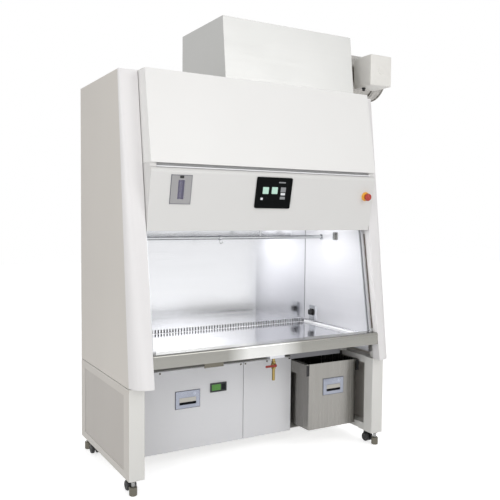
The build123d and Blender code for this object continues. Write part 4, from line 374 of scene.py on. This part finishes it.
FINISHES = {
    "frame_paint": powder_coat("frame_coat", tone(225, 224, 220), sides=tone(207, 202, 195)),
    "side_paint": powder_coat("side_coat", tone(218, 213, 206), 0.5),
    "lower_side_paint": powder_coat("lower_side_coat", tone(196, 191, 185), 0.5),
    "lower_front_paint": powder_coat("lower_front_coat", tone(228, 228, 230), 0.4),
    "white_paint": powder_coat("white_coat", tone(240, 239, 237), 0.38),
    "wing_paint": powder_coat("wing_coat", tone(235, 233, 233), 0.38),
    "panel_paint": powder_coat("panel_coat", tone(224, 223, 221), 0.4),
    # the chamber sheet's grey region beyond X 280 mm and below 1040 mm is a painted dark reflection
    "stainless_across": brushed_sheet("chamber_sheet", tone(232, 233, 236), ACROSS, 0.20, 1.0, 0.05,
                                      painted_dark_reflection=(280.0, 1040.0, tone(196, 197, 201))),
    "stainless_deep": brushed_sheet("side_wall_sheet", tone(240, 240, 243), DEEP, 0.35, 0.8, 0.03, 0.64),
    "stainless_tray": brushed_sheet("tray_sheet", tone(222, 222, 225), ACROSS, 0.14, 0.7, 0.03),
    # the armrest's bright band is a painted highlight
    "stainless_apron": brushed_sheet("apron_sheet", tone(150, 149, 144), ACROSS, 0.22, 1.2, 0.07,
                                     painted_highlight=(-60.0, 100.0, 120.0, tone(214, 214, 212))),
    "stainless_bin": brushed_sheet("bin_sheet", tone(152, 150, 146), UPRIGHT, 0.26, 1.2, 0.15),
    "stainless_box": brushed_sheet("plenum_sheet", tone(192, 192, 190), ACROSS, 0.46, 1.0, 0.05),
    "pan_underside": brushed_sheet("pan_sheet", tone(205, 206, 210), ACROSS, 0.36, 1.0, 0.04),
    "polished_steel": plated("polished_bar", tone(196, 198, 200), 0.2),
    "latch_steel": plated("latch_plating", tone(172, 177, 190), 0.26),
    "door_latch": latch_plating("door_latch_plating", -487.0),
    "bin_latch": latch_plating("bin_latch_plating", -641.0),
    "sealant": moulded("corner_sealant", tone(126, 128, 132), 0.6),
    # a grey strip standing for the shade in the finger channel
    "channel_shade_strip": moulded("channel_shade_strip", tone(196, 196, 197), 0.6, 2.0),
    # painted shade: the dark strip on the bearer under the armrest
    "bay_shadow": moulded("bearer_painted_shade", tone(92, 91, 88), 0.7, 2.0),
    # steel darkened as painted shade over the bin
    "shaded_header_steel": brushed_sheet("shaded_header_sheet", tone(108, 108, 111), ACROSS, 0.4, 1.0, 0.08),
    # dark rubber for the gauge's frame, also used for the bands painted as shade round the latch plates
    "gasket_and_latch_shade": moulded("gasket_and_latch_shade_rubber", tone(112, 113, 120), 0.6, 2.0),
    # near white: painted highlight on the finger channel's lip and along the tray's curbs
    "bead": moulded("white_bead_highlight", tone(246, 246, 248), 0.35),
    "paddle_steel": plated("paddle_plating", tone(166, 164, 158), 0.3),
    "foot_steel": plated("foot_steel", tone(108, 105, 96), 0.2),
    "machined_steel": plated("turned_steel", tone(186, 188, 190), 0.3),
    "screw_steel": plated("screw_plating", tone(170, 170, 168), 0.28),
    "aluminium": brushed_sheet("anodised_bar", tone(205, 206, 208), UPRIGHT, 0.36, 0.8, 0.04),
    "brass": plated("valve_brass", tone(158, 138, 86), 0.22),
    "galvanised": zinc_sheet("zinc_sheet"),
    "filter_media": pleated_paper("filter_paper"),
    "glass": clear_glass("sash_pane", tone(222, 238, 232), 0.16),
    "window": clear_glass("small_pane", tone(120, 116, 150), 0.30),
    "belt_rubber": moulded("belt_rubber", tone(40, 40, 41), 0.75, 3.0),
    "seal_rubber": moulded("seal_rubber", tone(96, 84, 74), 0.7, 3.0),
    "black_plastic": moulded("black_nylon", tone(34, 34, 35), 0.5, 2.0),
    "screen_bezel": moulded("screen_bezel", tone(8, 10, 11), 0.5, 0.6, reflects=0.06),
    "screen_face": moulded("screen_face", tone(34, 37, 38), 0.4, 0.2, reflects=0.1),
    "gauge_grey": moulded("gauge_plate", tone(166, 165, 166), 0.4),
    "gauge_tube": moulded("gauge_tube", tone(86, 82, 112), 0.3, 0.3, reflects=0.2),
    "meter_case": moulded("meter_case", tone(46, 48, 50), 0.4),
    "stop_red": moulded("stop_red", tone(178, 40, 22), 0.26, 0.4, Coat_Weight=0.4),
    "stop_yellow": moulded("stop_yellow", tone(244, 176, 62), 0.3, 0.5),
    "valve_red": moulded("dipped_red", tone(150, 40, 30), 0.35),
    "outlet_black": moulded("outlet_black", tone(28, 28, 28), 0.4),
    "outlet_plate": plated("outlet_plate", tone(214, 216, 220), 0.3),
    "ivory_plastic": moulded("ivory_housing", tone(235, 233, 228), 0.4),
    "lamp_tube": lit("lamp_tube", (1.0, 0.99, 0.97), 1.0, tone(245, 245, 243)),
    "mint_tile": lit("mint_tile", tone(178, 216, 198), 0.5, tone(150, 176, 164)),
    "grey_tile": lit("grey_tile", tone(120, 122, 124), 0.4),
    "white_tile": lit("white_tile", tone(214, 216, 220), 0.55, tone(170, 172, 174)),
    "dark_tile": lit("dark_tile", tone(66, 68, 71), 0.4),
    "green_tile": lit("green_tile", tone(70, 128, 46), 0.55, tone(52, 98, 34)),
}
# The finish of each of the record's slots, and of the nodes that have one of their own
FINISH_OF_SLOT = {
    "frame_paint": "frame_paint", "side_paint": "side_paint", "lower_side_paint": "lower_side_paint",
    "white_paint": "white_paint", "stainless": "stainless_across", "polished_steel": "polished_steel",
    "filter_media": "filter_media", "lamp": "lamp_tube", "outlet": "outlet_black", "glass": "glass",
    "aluminium": "aluminium", "belt_rubber": "belt_rubber", "machined_steel": "machined_steel",
    "galvanised": "galvanised", "screen": "screen_bezel", "gauge_grey": "gauge_grey",
    "float_black": "black_plastic", "stop_yellow": "stop_yellow", "stop_red": "stop_red",
    "meter_case": "meter_case", "latch_steel": "latch_steel", "valve_brass": "brass", "valve_lever": "valve_red",
    "duct_zinc": "galvanised", "actuator_plastic": "ivory_plastic", "caster_plastic": "black_plastic",
    "caster_tread": "black_plastic",
}
FINISH_OF_NODE = {
    "chamber_side_walls": "stainless_deep", "work_tray": "stainless_tray", "drain_pan": "pan_underside",
    "front_apron": "stainless_apron", "waste_bin": "stainless_bin", "bin_arms": "stainless_bin",
    "filter_door": "lower_front_paint", "centre_panel": "lower_front_paint", "exhaust_plenum": "stainless_box",
    "control_panel": "panel_paint", "service_outlet": "outlet_plate", "levelling_feet": "foot_steel",
    "door_latch_plate": "door_latch", "bin_latch_plate": "bin_latch", "door_latch_paddle": "paddle_steel",
    "bin_latch_paddle": "paddle_steel", "wings": "wing_paint",
}
RECORD = frame["record"]
SLOT_OF_NODE = {part["node"]: part["material_slot"] for part in RECORD["subparts"]}
BODY_OF_NODE = {node: body for body, members in RECORD["behaviour"]["bodies"].items() for node in members}
CREASE = radians(32.0)      # edges sharper than this stay sharp and are softened
WELD = 2e-6                 # corners nearer than this are one, metres


def finish_of(node):
    """The name of a CAD node's finish."""
    return FINISH_OF_NODE.get(node, FINISH_OF_SLOT[SLOT_OF_NODE[node]])


# ---- Pieces ----
def piece(name, form, finish, body="cabinet", edge=0.0):
    """Turn a finished bmesh into a piece of the object that rides on a body, its edges softened by metres."""
    mesh = bpy.data.meshes.new(name)
    form.to_mesh(mesh)
    form.free()
    mesh.materials.clear()
    mesh.materials.append(FINISHES[finish].material)
    mesh.shade_smooth()
    mesh.set_sharp_from_angle(angle=CREASE)
    made = bpy.data.objects.new(name, mesh)
    bpy.context.scene.collection.objects.link(made)
    if edge:
        bevel = made.modifiers.new("softened_edges", "BEVEL")
        bevel.width, bevel.segments = edge, 2
        bevel.limit_method, bevel.angle_limit = "ANGLE", CREASE
        bevel.harden_normals = True
    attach(made, body)
    return made


def skin(node, edge):
    """A CAD node's own shape with its facets joined, its flats cleared and its edges softened."""
    form = bmesh.new()
    form.from_mesh(NODES[node].data)
    bmesh.ops.remove_doubles(form, verts=form.verts, dist=WELD)
    bmesh.ops.dissolve_limit(form, angle_limit=radians(0.6), verts=form.verts, edges=form.edges)
    made = piece(node + "_skin", form, finish_of(node), BODY_OF_NODE[node], edge)
    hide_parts(node)


def slab(form, place, width, height, low, high, corner=0.0):
    """Plate on a local face: width and height in its plane, low to high along its normal, millimetres."""
    matrix = place @ Matrix.Translation((0, 0, (low + high) / 2 * MM))
    matrix = matrix @ Matrix.Diagonal((width * MM, height * MM, (high - low) * MM, 1))
    made = bmesh.ops.create_cube(form, size=1.0, matrix=matrix)["verts"]
    if corner:
        normal = (place.to_3x3() @ Vector((0, 0, 1))).normalized()
        upright = [edge for edge in {e for v in made for e in v.link_edges}
                   if abs((edge.verts[0].co - edge.verts[1].co).normalized().dot(normal)) > 0.99]
        bmesh.ops.bevel(form, geom=upright, offset=corner * MM, segments=3, profile=0.5, affect="EDGES", material=-1)


def stub(form, place, radius, low, high, tip=None, segments=32):
    """Round piece on a local face, from low to high along its normal, millimetres."""
    middle = Matrix.Translation((0, 0, (low + high) / 2 * MM))
    tip = radius if tip is None else tip
    bmesh.ops.create_cone(form, cap_ends=True, segments=segments, radius1=radius * MM, radius2=tip * MM,
                          depth=(high - low) * MM, matrix=place @ middle)


def ring(form, place, outer, inner, low, high, segments):
    """Flat ring on a local face, millimetres."""
    profile = [(inner, low), (outer, low), (outer, high), (inner, high)]
    verts = [form.verts.new(place @ (Vector((radius, 0, z)) * MM)) for radius, z in profile]
    edges = [form.edges.new((verts[i], verts[(i + 1) % 4])) for i in range(4)]
    axis = place.to_3x3() @ Vector((0, 0, 1))
    bmesh.ops.spin(form, geom=verts + edges, cent=place.translation, axis=axis, angle=2 * pi,
                   steps=segments, use_merge=True, use_duplicate=False)
    bmesh.ops.remove_doubles(form, verts=form.verts, dist=1e-6)
    bmesh.ops.recalc_face_normals(form, faces=form.faces)


def screw_head(form, place, radius=4.0):
    """Low domed screw head with a cross of two sunk bars."""
    height = radius * 0.45
    stub(form, place, radius, 0.0, height * 0.45, radius, 20)
    stub(form, place, radius, height * 0.45, height, radius * 0.62, 20)
    for turn in (0.0, pi / 2):
        bar = place @ Matrix.Rotation(turn, 4, "Z")
        slab(form, bar, radius * 0.95, radius * 0.2, height, height + 0.12)


def screws(name, places, body="cabinet", radius=4.0, finish="screw_steel"):
    """Screw heads as one piece."""
    form = bmesh.new()
    for place in places:
        screw_head(form, place, radius)
    piece(name, form, finish, body)


def plates(name, places, finish, body="cabinet", edge=0.0):
    """Several plates as one piece: (place, width, height, low, high, corner) each."""
    form = bmesh.new()
    for place, width, height, low, high, corner in places:
        slab(form, place, width, height, low, high, corner)
    piece(name, form, finish, body, edge)


# ---- The cabinet's own nodes ----
SOFT_EDGES = {      # metres
    "stand_frame": 0.0, "upper_side_panels": 0.0012, "lower_side_panels": 0.0010, "wings": 0.0010,
    "service_hood": 0.0006, "control_panel": 0.0006, "exhaust_plenum": 0.0007, "front_apron": 0.0006,
    "filter_door": 0.0006, "centre_panel": 0.0006, "waste_bin": 0.0006, "bin_arms": 0.0006,
    "work_tray": 0.0004, "chamber_back_wall": 0.0002, "chamber_side_walls": 0.0004,
    "door_latch_plate": 0.0003, "bin_latch_plate": 0.0003, "door_latch_paddle": 0.0005,
    "bin_latch_paddle": 0.0005, "touch_panel": 0.0004, "airflow_gauge": 0.0003, "pressure_meter": 0.0004,
    "damper_body": 0.0004, "damper_actuator": 0.0004, "levelling_feet": 0.0005, "estop_collar": 0.0004,
    "estop_button": 0.0, "drain_valve_body": 0.0004, "drain_valve_lever": 0.0006, "sash_rails": 0.0006,
    "sash_guides": 0.0004, "sash_glass": 0.0005, "hanging_rod": 0.0004, "rod_hook": 0.0004,
    "service_outlet": 0.0005, "head_top_panel": 0.0004, "rear_panels": 0.0004, "door_key_cylinder": 0.0003,
    "bin_key_cylinder": 0.0003, "gauge_float": 0.0003, "damper_blade": 0.0003,
}
for node, edge in SOFT_EDGES.items():
    skin(node, edge)
for node in NODES:
    if node.startswith("caster_"):
        skin(node, 0.0004)
    elif node not in SOFT_EDGES:
        mesh = NODES[node].data
        mesh.materials.clear()
        mesh.materials.append(FINISHES[finish_of(node)].material)

# ---- Dark bands round the latch plates: painted shade at their edges ----
SHADE_BAND_LONG, SHADE_BAND_TALL, SHADE_BAND_WIDTH, SHADE_BAND_THICK = 142.0, 93.0, 2.8, 2.4
for body, x, y, z in (("door", -335.5, LOWER_FRONT, 337.5), ("bin", 486.5, BIN_FRONT, 343.5)):
    around = placed(x, y, z, FRONT)
    form = bmesh.new()
    for side in (-1, 1):
        slab(form, moved(around, x=side * 69.6), SHADE_BAND_WIDTH, SHADE_BAND_TALL, 0.0, SHADE_BAND_THICK)
        slab(form, moved(around, y=side * 45.6), SHADE_BAND_LONG, SHADE_BAND_WIDTH, 0.0, SHADE_BAND_THICK)
    piece(body + "_latch_shade_band", form, "gasket_and_latch_shade", body, 0.0003)

# ---- Touch screen ----
SCREEN_X, SCREEN_HEIGHT, SCREEN_PROUD = 5.0, 1404.0, 8.0
display = on_panel(SCREEN_X, SCREEN_HEIGHT, SCREEN_PROUD - 1.4)


def tile(x, y, width, height, low=0.55, high=0.8, corner=1.2):
    """A tile on the display, from its middle, millimetres."""
    return moved(display, x, y), width, height, low, high, corner


plates("screen_face", [tile(0, 4.5, 168, 117, 0.0, 0.5, 1.0)], "screen_face")
plates("screen_bar", [tile(0, 56, 166, 12, 0.45, 0.6, 0.6)], "dark_tile")
plates("screen_mint_tiles", [tile(-50, 12, 34, 34), tile(2, 13, 34, 34)], "mint_tile")
plates("screen_grey_tiles", [tile(52, 18, 30, 24), tile(52, -24, 30, 14), tile(42, 54, 40, 6, 0.6, 0.8, 0.4)],
       "grey_tile")
plates("screen_white_tiles", [tile(52, -4, 26, 12), tile(-69, -30, 13, 11)], "white_tile")

# ---- Air flow gauge ----
GAUGE_X, GAUGE_HEIGHT = -500.0, 1407.0
gauge = on_panel(GAUGE_X, GAUGE_HEIGHT)


def gauge_mark(x, y, width, height, low=3.0, high=3.25, corner=0.0):
    """A plate on the gauge, from its middle, millimetres."""
    return moved(gauge, x, y), width, height, low, high, corner


plates("gauge_window", [gauge_mark(0, 0, 31, 90, 1.6, 2.4, 1.0)], "window")
plates("gauge_liner", [gauge_mark(0, 0, 30.6, 89.6, -21.0, -19.6, 0.4)], "gauge_tube")
plates("gauge_scale", [gauge_mark(19.5, -36 + step * 9, 3.0 if step % 2 else 5.5, 0.7) for step in range(9)]
       + [gauge_mark(0, 59, 20, 12, 3.0, 4.4, 3.0)], "black_plastic")
plates("gauge_gasket", [gauge_mark(x, 0, 2.6, 138, 0.0, 3.2) for x in (-51.5, 51.5)]
       + [gauge_mark(0, y, 104, 2.6, 0.0, 3.2) for y in (-67.0, 67.0)], "gasket_and_latch_shade")
screws("gauge_screws", [moved(gauge, x, y, 3) for x in (-45, 45) for y in (-60, 60)], radius=2.2)

# ---- Pressure meter and door ----
meter = placed(-158.0, LOWER_FRONT, 380.0, FRONT)


def meter_part(x, width, height, low, high):
    """A plate on the meter, from its middle, millimetres."""
    return moved(meter, x), width, height, low, high, 0.8


plates("meter_window", [meter_part(-13, 52, 31, 4.5, 5.5)], "green_tile", "door")
plates("meter_keys", [meter_part(30, 22, 31, 4.5, 5.3)], "screen_face", "door")
for name, body, spots in (("door_screws", "door", (-650, -489, -20)), ("centre_screws", "cabinet", (8, 145, 292))):
    screws(name, [placed(x, LOWER_FRONT, LOWER_SCREW_LINE, FRONT) for x in spots], body, 5.0, "foot_steel")

# ---- Pan under the tray: shallow behind the armrest, deep further back, with a sump at the valve ----
PAN_SIDE, PAN_FRONT, PAN_BACK, PAN_TOP, PAN_SHEET = 647.0, -790.0, -119.0, 620.0, 1.5
PAN_FOLD = 6.0      # slant of the fold at the step
pan_outline = [(PAN_FRONT, PAN_TOP), (PAN_FRONT, PAN_SHELF), (PAN_STEP - PAN_FOLD, PAN_SHELF),
               (PAN_STEP, PAN_SHELF - PAN_FOLD), (PAN_STEP, PAN_FLOOR), (PAN_BACK, PAN_FLOOR), (PAN_BACK, PAN_TOP)]
pan_inside = [(PAN_BACK - PAN_SHEET, PAN_TOP), (PAN_BACK - PAN_SHEET, PAN_FLOOR + PAN_SHEET),
              (PAN_STEP + PAN_SHEET, PAN_FLOOR + PAN_SHEET), (PAN_STEP + PAN_SHEET, PAN_SHELF - PAN_FOLD + 1.0),
              (PAN_STEP - PAN_FOLD + 1.0, PAN_SHELF + PAN_SHEET), (PAN_FRONT + PAN_SHEET, PAN_SHELF + PAN_SHEET),
              (PAN_FRONT + PAN_SHEET, PAN_TOP)]
form = bmesh.new()
section = form.faces.new([form.verts.new(at(-PAN_SIDE, y, z)) for y, z in pan_outline + pan_inside])
grown = bmesh.ops.extrude_face_region(form, geom=[section])["geom"]
bmesh.ops.translate(form, verts=[v for v in grown if isinstance(v, bmesh.types.BMVert)],
                    vec=(2 * PAN_SIDE * MM, 0, 0))
for side in (-1, 1):
    for low, high, y0, y1 in ((PAN_SHELF, PAN_TOP, PAN_FRONT + 1.0, PAN_STEP - 1.0),
                              (PAN_FLOOR + 1.0, PAN_TOP, PAN_STEP, PAN_BACK)):
        slab(form, placed(side * (PAN_SIDE - PAN_SHEET), (y0 + y1) / 2, (low + high) / 2, RIGHT),
             y1 - y0, high - low, 0.0, PAN_SHEET)
VALVE_X, VALVE_Y = 103.0, -620.0
slab(form, placed(VALVE_X, VALVE_Y, PAN_FLOOR, UP), 96, 84, 0.0, PAN_SHELF + 1.0 - PAN_FLOOR, 8.0)
stub(form, placed(VALVE_X, VALVE_Y, PAN_FLOOR, DOWN), 15, 0.0, 5.0, 13.5)
bmesh.ops.recalc_face_normals(form, faces=form.faces)
pan = piece("drain_pan_stepped", form, "pan_underside", "cabinet", 0.0005)
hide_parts("drain_pan")

# ---- Grey strip painted as the shade in the finger channel, and a white strip painted as the highlight on its lip ----
form = bmesh.new()
# painted shade: a grey strip along the channel's back
slab(form, placed(0.0, -735.0, 1521.0, FRONT), 1244, 10, 0.0, 3.0, 1.0)
piece("channel_shade_strip", form, "channel_shade_strip", "cabinet", 0.0006)
# painted highlight: a white strip on the panel's nose
plates("channel_lip_highlight", [(placed(0.0, -752.0, 1508.0, UP), 1240, 26, 0.0, 5.0, 0.0)], "bead")

# ---- Sealant in the chamber's corners and raised beads round the tray, their near white a painted highlight along the curb ----
form = bmesh.new()
for side in (-1, 1):
    corner = placed(side * (WALL_FACE - 1.0), BACK_WALL_FACE, 965.0, facing((-side, -1, 0)))
    slab(form, corner, 3.2, 640, -1.5, 0.6, 0.5)
slab(form, placed(0.0, BACK_WALL_FACE, 1289.0, facing((0, -1, -1))), 1290, 3.0, -1.5, 0.6, 0.5)
piece("corner_sealant", form, "sealant", "cabinet", 0.0003)
form = bmesh.new()
for side in (-1, 1):
    slab(form, placed(side * 643.5, -431.0, TRAY_TOP + 5.0, facing((-side, 0, 0.7))), 616, 12.0, -3.0, 1.5)
slab(form, placed(0.0, -126.5, TRAY_TOP, UP), 1280, 12.0, -0.5, 0.8)
piece("tray_beads", form, "bead", "cabinet", 0.0005)

# ---- Fitting and outlet cover on the right wall ----
form = bmesh.new()
fitting = placed(WALL_FACE, -426.0, 1172.0, LEFT)
slab(form, fitting, 44, 46, 0.0, 4.0, 5.0)
slab(form, moved(fitting, z=4.0), 20, 34, 0.0, 9.0, 4.0)
for z in (1155.0, 1189.0):
    screw_head(form, placed(WALL_FACE - 4.0, -441.0, z, LEFT), 2.6)
piece("wall_fitting", form, "screw_steel", "cabinet", 0.0008)
form = bmesh.new()
outlet = placed(641.0, -211.0, 692.0, LEFT)
slab(form, outlet, 42, 40, 0.0, 4.0, 7.0)
slab(form, moved(outlet, z=4.0), 34, 31, 0.0, 15.0, 8.0)
for z in (727.0, 648.0):
    for y in (-190.0, -232.0):
        screw_head(form, placed(641.0, y, z, LEFT), 2.2)
piece("outlet_cover", form, "outlet_black", "cabinet", 0.0015)

# ---- Lower ends of the sash guides ----
for side, x in (("left", -638.0), ("right", 638.0)):
    form = bmesh.new()
    slab(form, placed(x, -760.0, 656.0, UP), 22, 26, 0, 5, 5)
    slab(form, placed(x, -774.0, 661.0, UP), 18, 5, 0, 9, 2)
    piece("guide_foot_" + side, form, "aluminium", "cabinet", 0.0008)

# ---- Seals beside the guides ----
form = bmesh.new()
for side in (-1, 1):
    low, high = on_sash(side * 652.5, 672.0, 14.0), on_sash(side * 652.5, 1190.0, 14.0)
    length = (high.translation - low.translation).length / MM
    middle = Matrix.Translation((low.translation + high.translation) / 2) @ low.to_3x3().to_4x4()
    slab(form, middle, 2.6, length, -2.0, 3.0, 0.8)
piece("guide_seals", form, "seal_rubber", "cabinet", 0.0004)

# ---- Dark strips on the front bearer and over the bin: painted shade under the armrest ----
plates("bearer_strip", [(placed(-188.0, LOWER_FRONT, 520.5, FRONT), 976, 40, 0.0, 1.5, 0.0)],
       "bay_shadow")
plates("bin_header", [(placed(390.0, -600.0, 527.0, FRONT), 340, 28, 0.0, 1.5, 0.0)], "shaded_header_steel",
       edge=0.0004)

# ---- Bracket under the pan ----
form = bmesh.new()
slab(form, placed(-230.0, -560.0, PAN_FLOOR, DOWN), 110, 34, 0, 3, 3)
slab(form, placed(-230.0, -577.0, PAN_FLOOR - 14.5, FRONT), 110, 29, -3, 0)
for x in (-272, -188):
    screw_head(form, placed(x, -556.0, PAN_FLOOR - 3.0, DOWN), 4.5)
piece("pan_bracket", form, "foot_steel", "cabinet", 0.0006)

# ---- Rubber ends of the bin's arms ----
plates("arm_bumper", [(placed(x, BIN_ARM_FRONT, 444.0, FRONT), 15, 60, 0, 2.2, 2.0) for x in (313.0, 660.0)],
       "black_plastic", edge=0.0005)

# ---- Clamps on the duct's flange ----
form = bmesh.new()
for turn in range(8):
    angle = radians(turn * 45 + 22)
    arm = placed(579.0, -400.0, 2120.0, RIGHT) @ Matrix.Rotation(angle, 4, "Z")
    spot = moved(arm, y=132)
    slab(form, spot, 16, 14, 0.0, 7.0, 2.0)
    stub(form, spot, 3.2, 7.0, 12.0, segments=6)
piece("duct_clamps", form, "black_plastic", "cabinet", 0.0005)

# ---- Damper drive ----
form = bmesh.new()
drive = placed(DRIVE_X, DRIVE_FACE, DRIVE_HEIGHT, FRONT)
stub(form, drive, 22, 0.0, 2.0, 20)
slab(form, moved(drive, z=2.0), 30, 5, 0.0, 2.0, 2.0)
piece("drive_pointer", form, "ivory_plastic", "cabinet", 0.0005)
screws("drive_screws", [moved(drive, x, z) for x in (-62, 62) for z in (-72, 72)],
       radius=3.2, finish="ivory_plastic")
form = bmesh.new()
gland = placed(700.0, -600.0, 2019.0, DOWN)
stub(form, gland, 11, 0.0, 6.0, segments=6)
stub(form, gland, 9, 6.0, 18.0, 7.0)
piece("drive_gland", form, "black_plastic", "cabinet", 0.0006)

# ---- Feet ----
form = bmesh.new()
for x in (-FOOT_X, FOOT_X):
    for y in (FRONT_FOOT_Y, REAR_FOOT_Y):
        for step in range(8):
            ring(form, placed(x, y, 43.0 + step * 2.6, UP), 8.7, 7.6, 0.0, 1.3, 20)
piece("foot_threads", form, "machined_steel", "cabinet")

# ---- Panel screws on the rear, the sides, the roof and the plenum ----
SUNK = -2.0         # heads lie this deep in their panels
screws("rear_screws", [placed(x, REAR_FACE + SUNK, z, BACK) for x in range(-720, 721, 240)
                       for z in (90.0, 480.0, 520.0, 1935.0)]
       + [placed(x, REAR_FACE + SUNK, z, BACK) for x in (-720.0, 720.0) for z in (285.0, 870.0, 1230.0, 1590.0)])
screws("side_screws", [placed(side * (SIDE_FACE + SUNK), y, z, turn) for side, turn in ((-1, LEFT), (1, RIGHT))
                       for y, z in ((-671.0, 472.0), (-650.0, 92.0), (-90.0, 480.0), (-90.0, 92.0))], radius=3.6)
screws("roof_screws", [placed(x, -30.0, ROOF, UP) for x in range(-600, 601, 300)]
       + [placed(side * 715.0, y, ROOF, UP) for side in (-1, 1) for y in (-60.0, -300.0, -530.0)])
screws("plenum_screws", [placed(x, PLENUM_REAR + SUNK, z, BACK) for x in (-200.0, 180.0, 555.0)
                         for z in (1980.0, 2255.0)])

# ---- Camera ----
YAW, PITCH, ROLL = radians(30.188), radians(-3.022), 0.0095
LENS, SENSOR = 47.84, 36.0
STANDPOINT = (-1.85706, -3.16245, 1.29285)
forward = Vector((sin(YAW) * cos(PITCH), cos(YAW) * cos(PITCH), sin(PITCH)))
level = Vector((cos(YAW), -sin(YAW), 0.0))
above = level.cross(forward)
camera_x = level * cos(ROLL) + above * sin(ROLL)
camera_y = above * cos(ROLL) - level * sin(ROLL)
camera = bpy.data.objects.new("camera", bpy.data.cameras.new("camera"))
camera.data.lens, camera.data.sensor_width = LENS, SENSOR
camera.matrix_world = Matrix((camera_x, camera_y, -forward)).transposed().to_4x4()
camera.location = STANDPOINT
bpy.context.scene.collection.objects.link(camera)
bpy.context.scene.camera = camera

# ---- Studio ----
bpy.context.scene.view_settings.view_transform = "Standard"
AMBIENT = 0.50          # light from all round
PLAIN_WHITE = (1.0, 1.0, 1.0, 1.0)
world = bpy.data.worlds.new("studio")
bpy.context.scene.world = world
sky = Network(world)
ambient, backdrop = (sky.node("ShaderNodeBackground", {}, {"Color": PLAIN_WHITE, "Strength": strength})
                     for strength in (AMBIENT, 1.0))
shown = sky.node("ShaderNodeMixShader", {}, {0: sky.seen(), 1: ambient, 2: backdrop})
sky.node("ShaderNodeOutputWorld", {}, {"Surface": shown})


def soft_lamp(name, place, target, size, power, tall=None):
    """Large area lamp that looks at a point, out of the camera's sight."""
    lamp = bpy.data.lights.new(name, "AREA")
    lamp.energy, lamp.size = power, size
    if tall:
        lamp.shape, lamp.size_y = "RECTANGLE", tall
    made = bpy.data.objects.new(name, lamp)
    made.matrix_world = Matrix.Translation(place) @ facing(Vector(place) - Vector(target), (0, 1, 0.1)).to_4x4()
    bpy.context.scene.collection.objects.link(made)
    made.visible_camera = False
    return made


soft_lamp("key", (1.9, -4.7, 3.4), (0.0, 0.0, 1.1), 2.6, 58)
soft_lamp("low_fill", (-1.7, -4.8, 0.8), (0.0, 0.0, 0.5), 2.2, 27)
soft_lamp("side_fill", (-4.0, -3.0, 2.6), (0.0, 0.0, 1.2), 2.4, 52)
soft_lamp("chamber_light", at(0, -400, 1280), at(0, -400, 600), 1.15, 7, 0.3).visible_glossy = False
soft_lamp("back_fill", (1.4, 4.8, 2.8), (0.0, 0.0, 1.2), 2.6, 34)

FLOOR_LIFT = 0.62      # what the floor adds in the view, so that it meets the white behind it
form = bmesh.new()
bmesh.ops.create_grid(form, x_segments=8, y_segments=8, size=14.0)
floor_mesh = bpy.data.meshes.new("floor")
form.to_mesh(floor_mesh)
form.free()
floor = bpy.data.objects.new("floor", floor_mesh)
bpy.context.scene.collection.objects.link(floor)
ground = Finish("studio_floor", Base_Color=(0.86, 0.86, 0.86), Specular_IOR_Level=0.1)
ground.give("Roughness", ground.noise(3.0) * 0.1 + 0.7)
lift = ground.node("ShaderNodeEmission", {}, {"Color": PLAIN_WHITE, "Strength": ground.seen() * FLOOR_LIFT})
both = ground.tree.nodes.new("ShaderNodeAddShader")
ground.tree.links.new(ground.shader.outputs[0], both.inputs[0])
ground.tree.links.new(lift.socket, both.inputs[1])
ground.tree.links.new(both.outputs[0], ground.tree.nodes["Material Output"].inputs["Surface"])
floor_mesh.materials.append(ground.material)
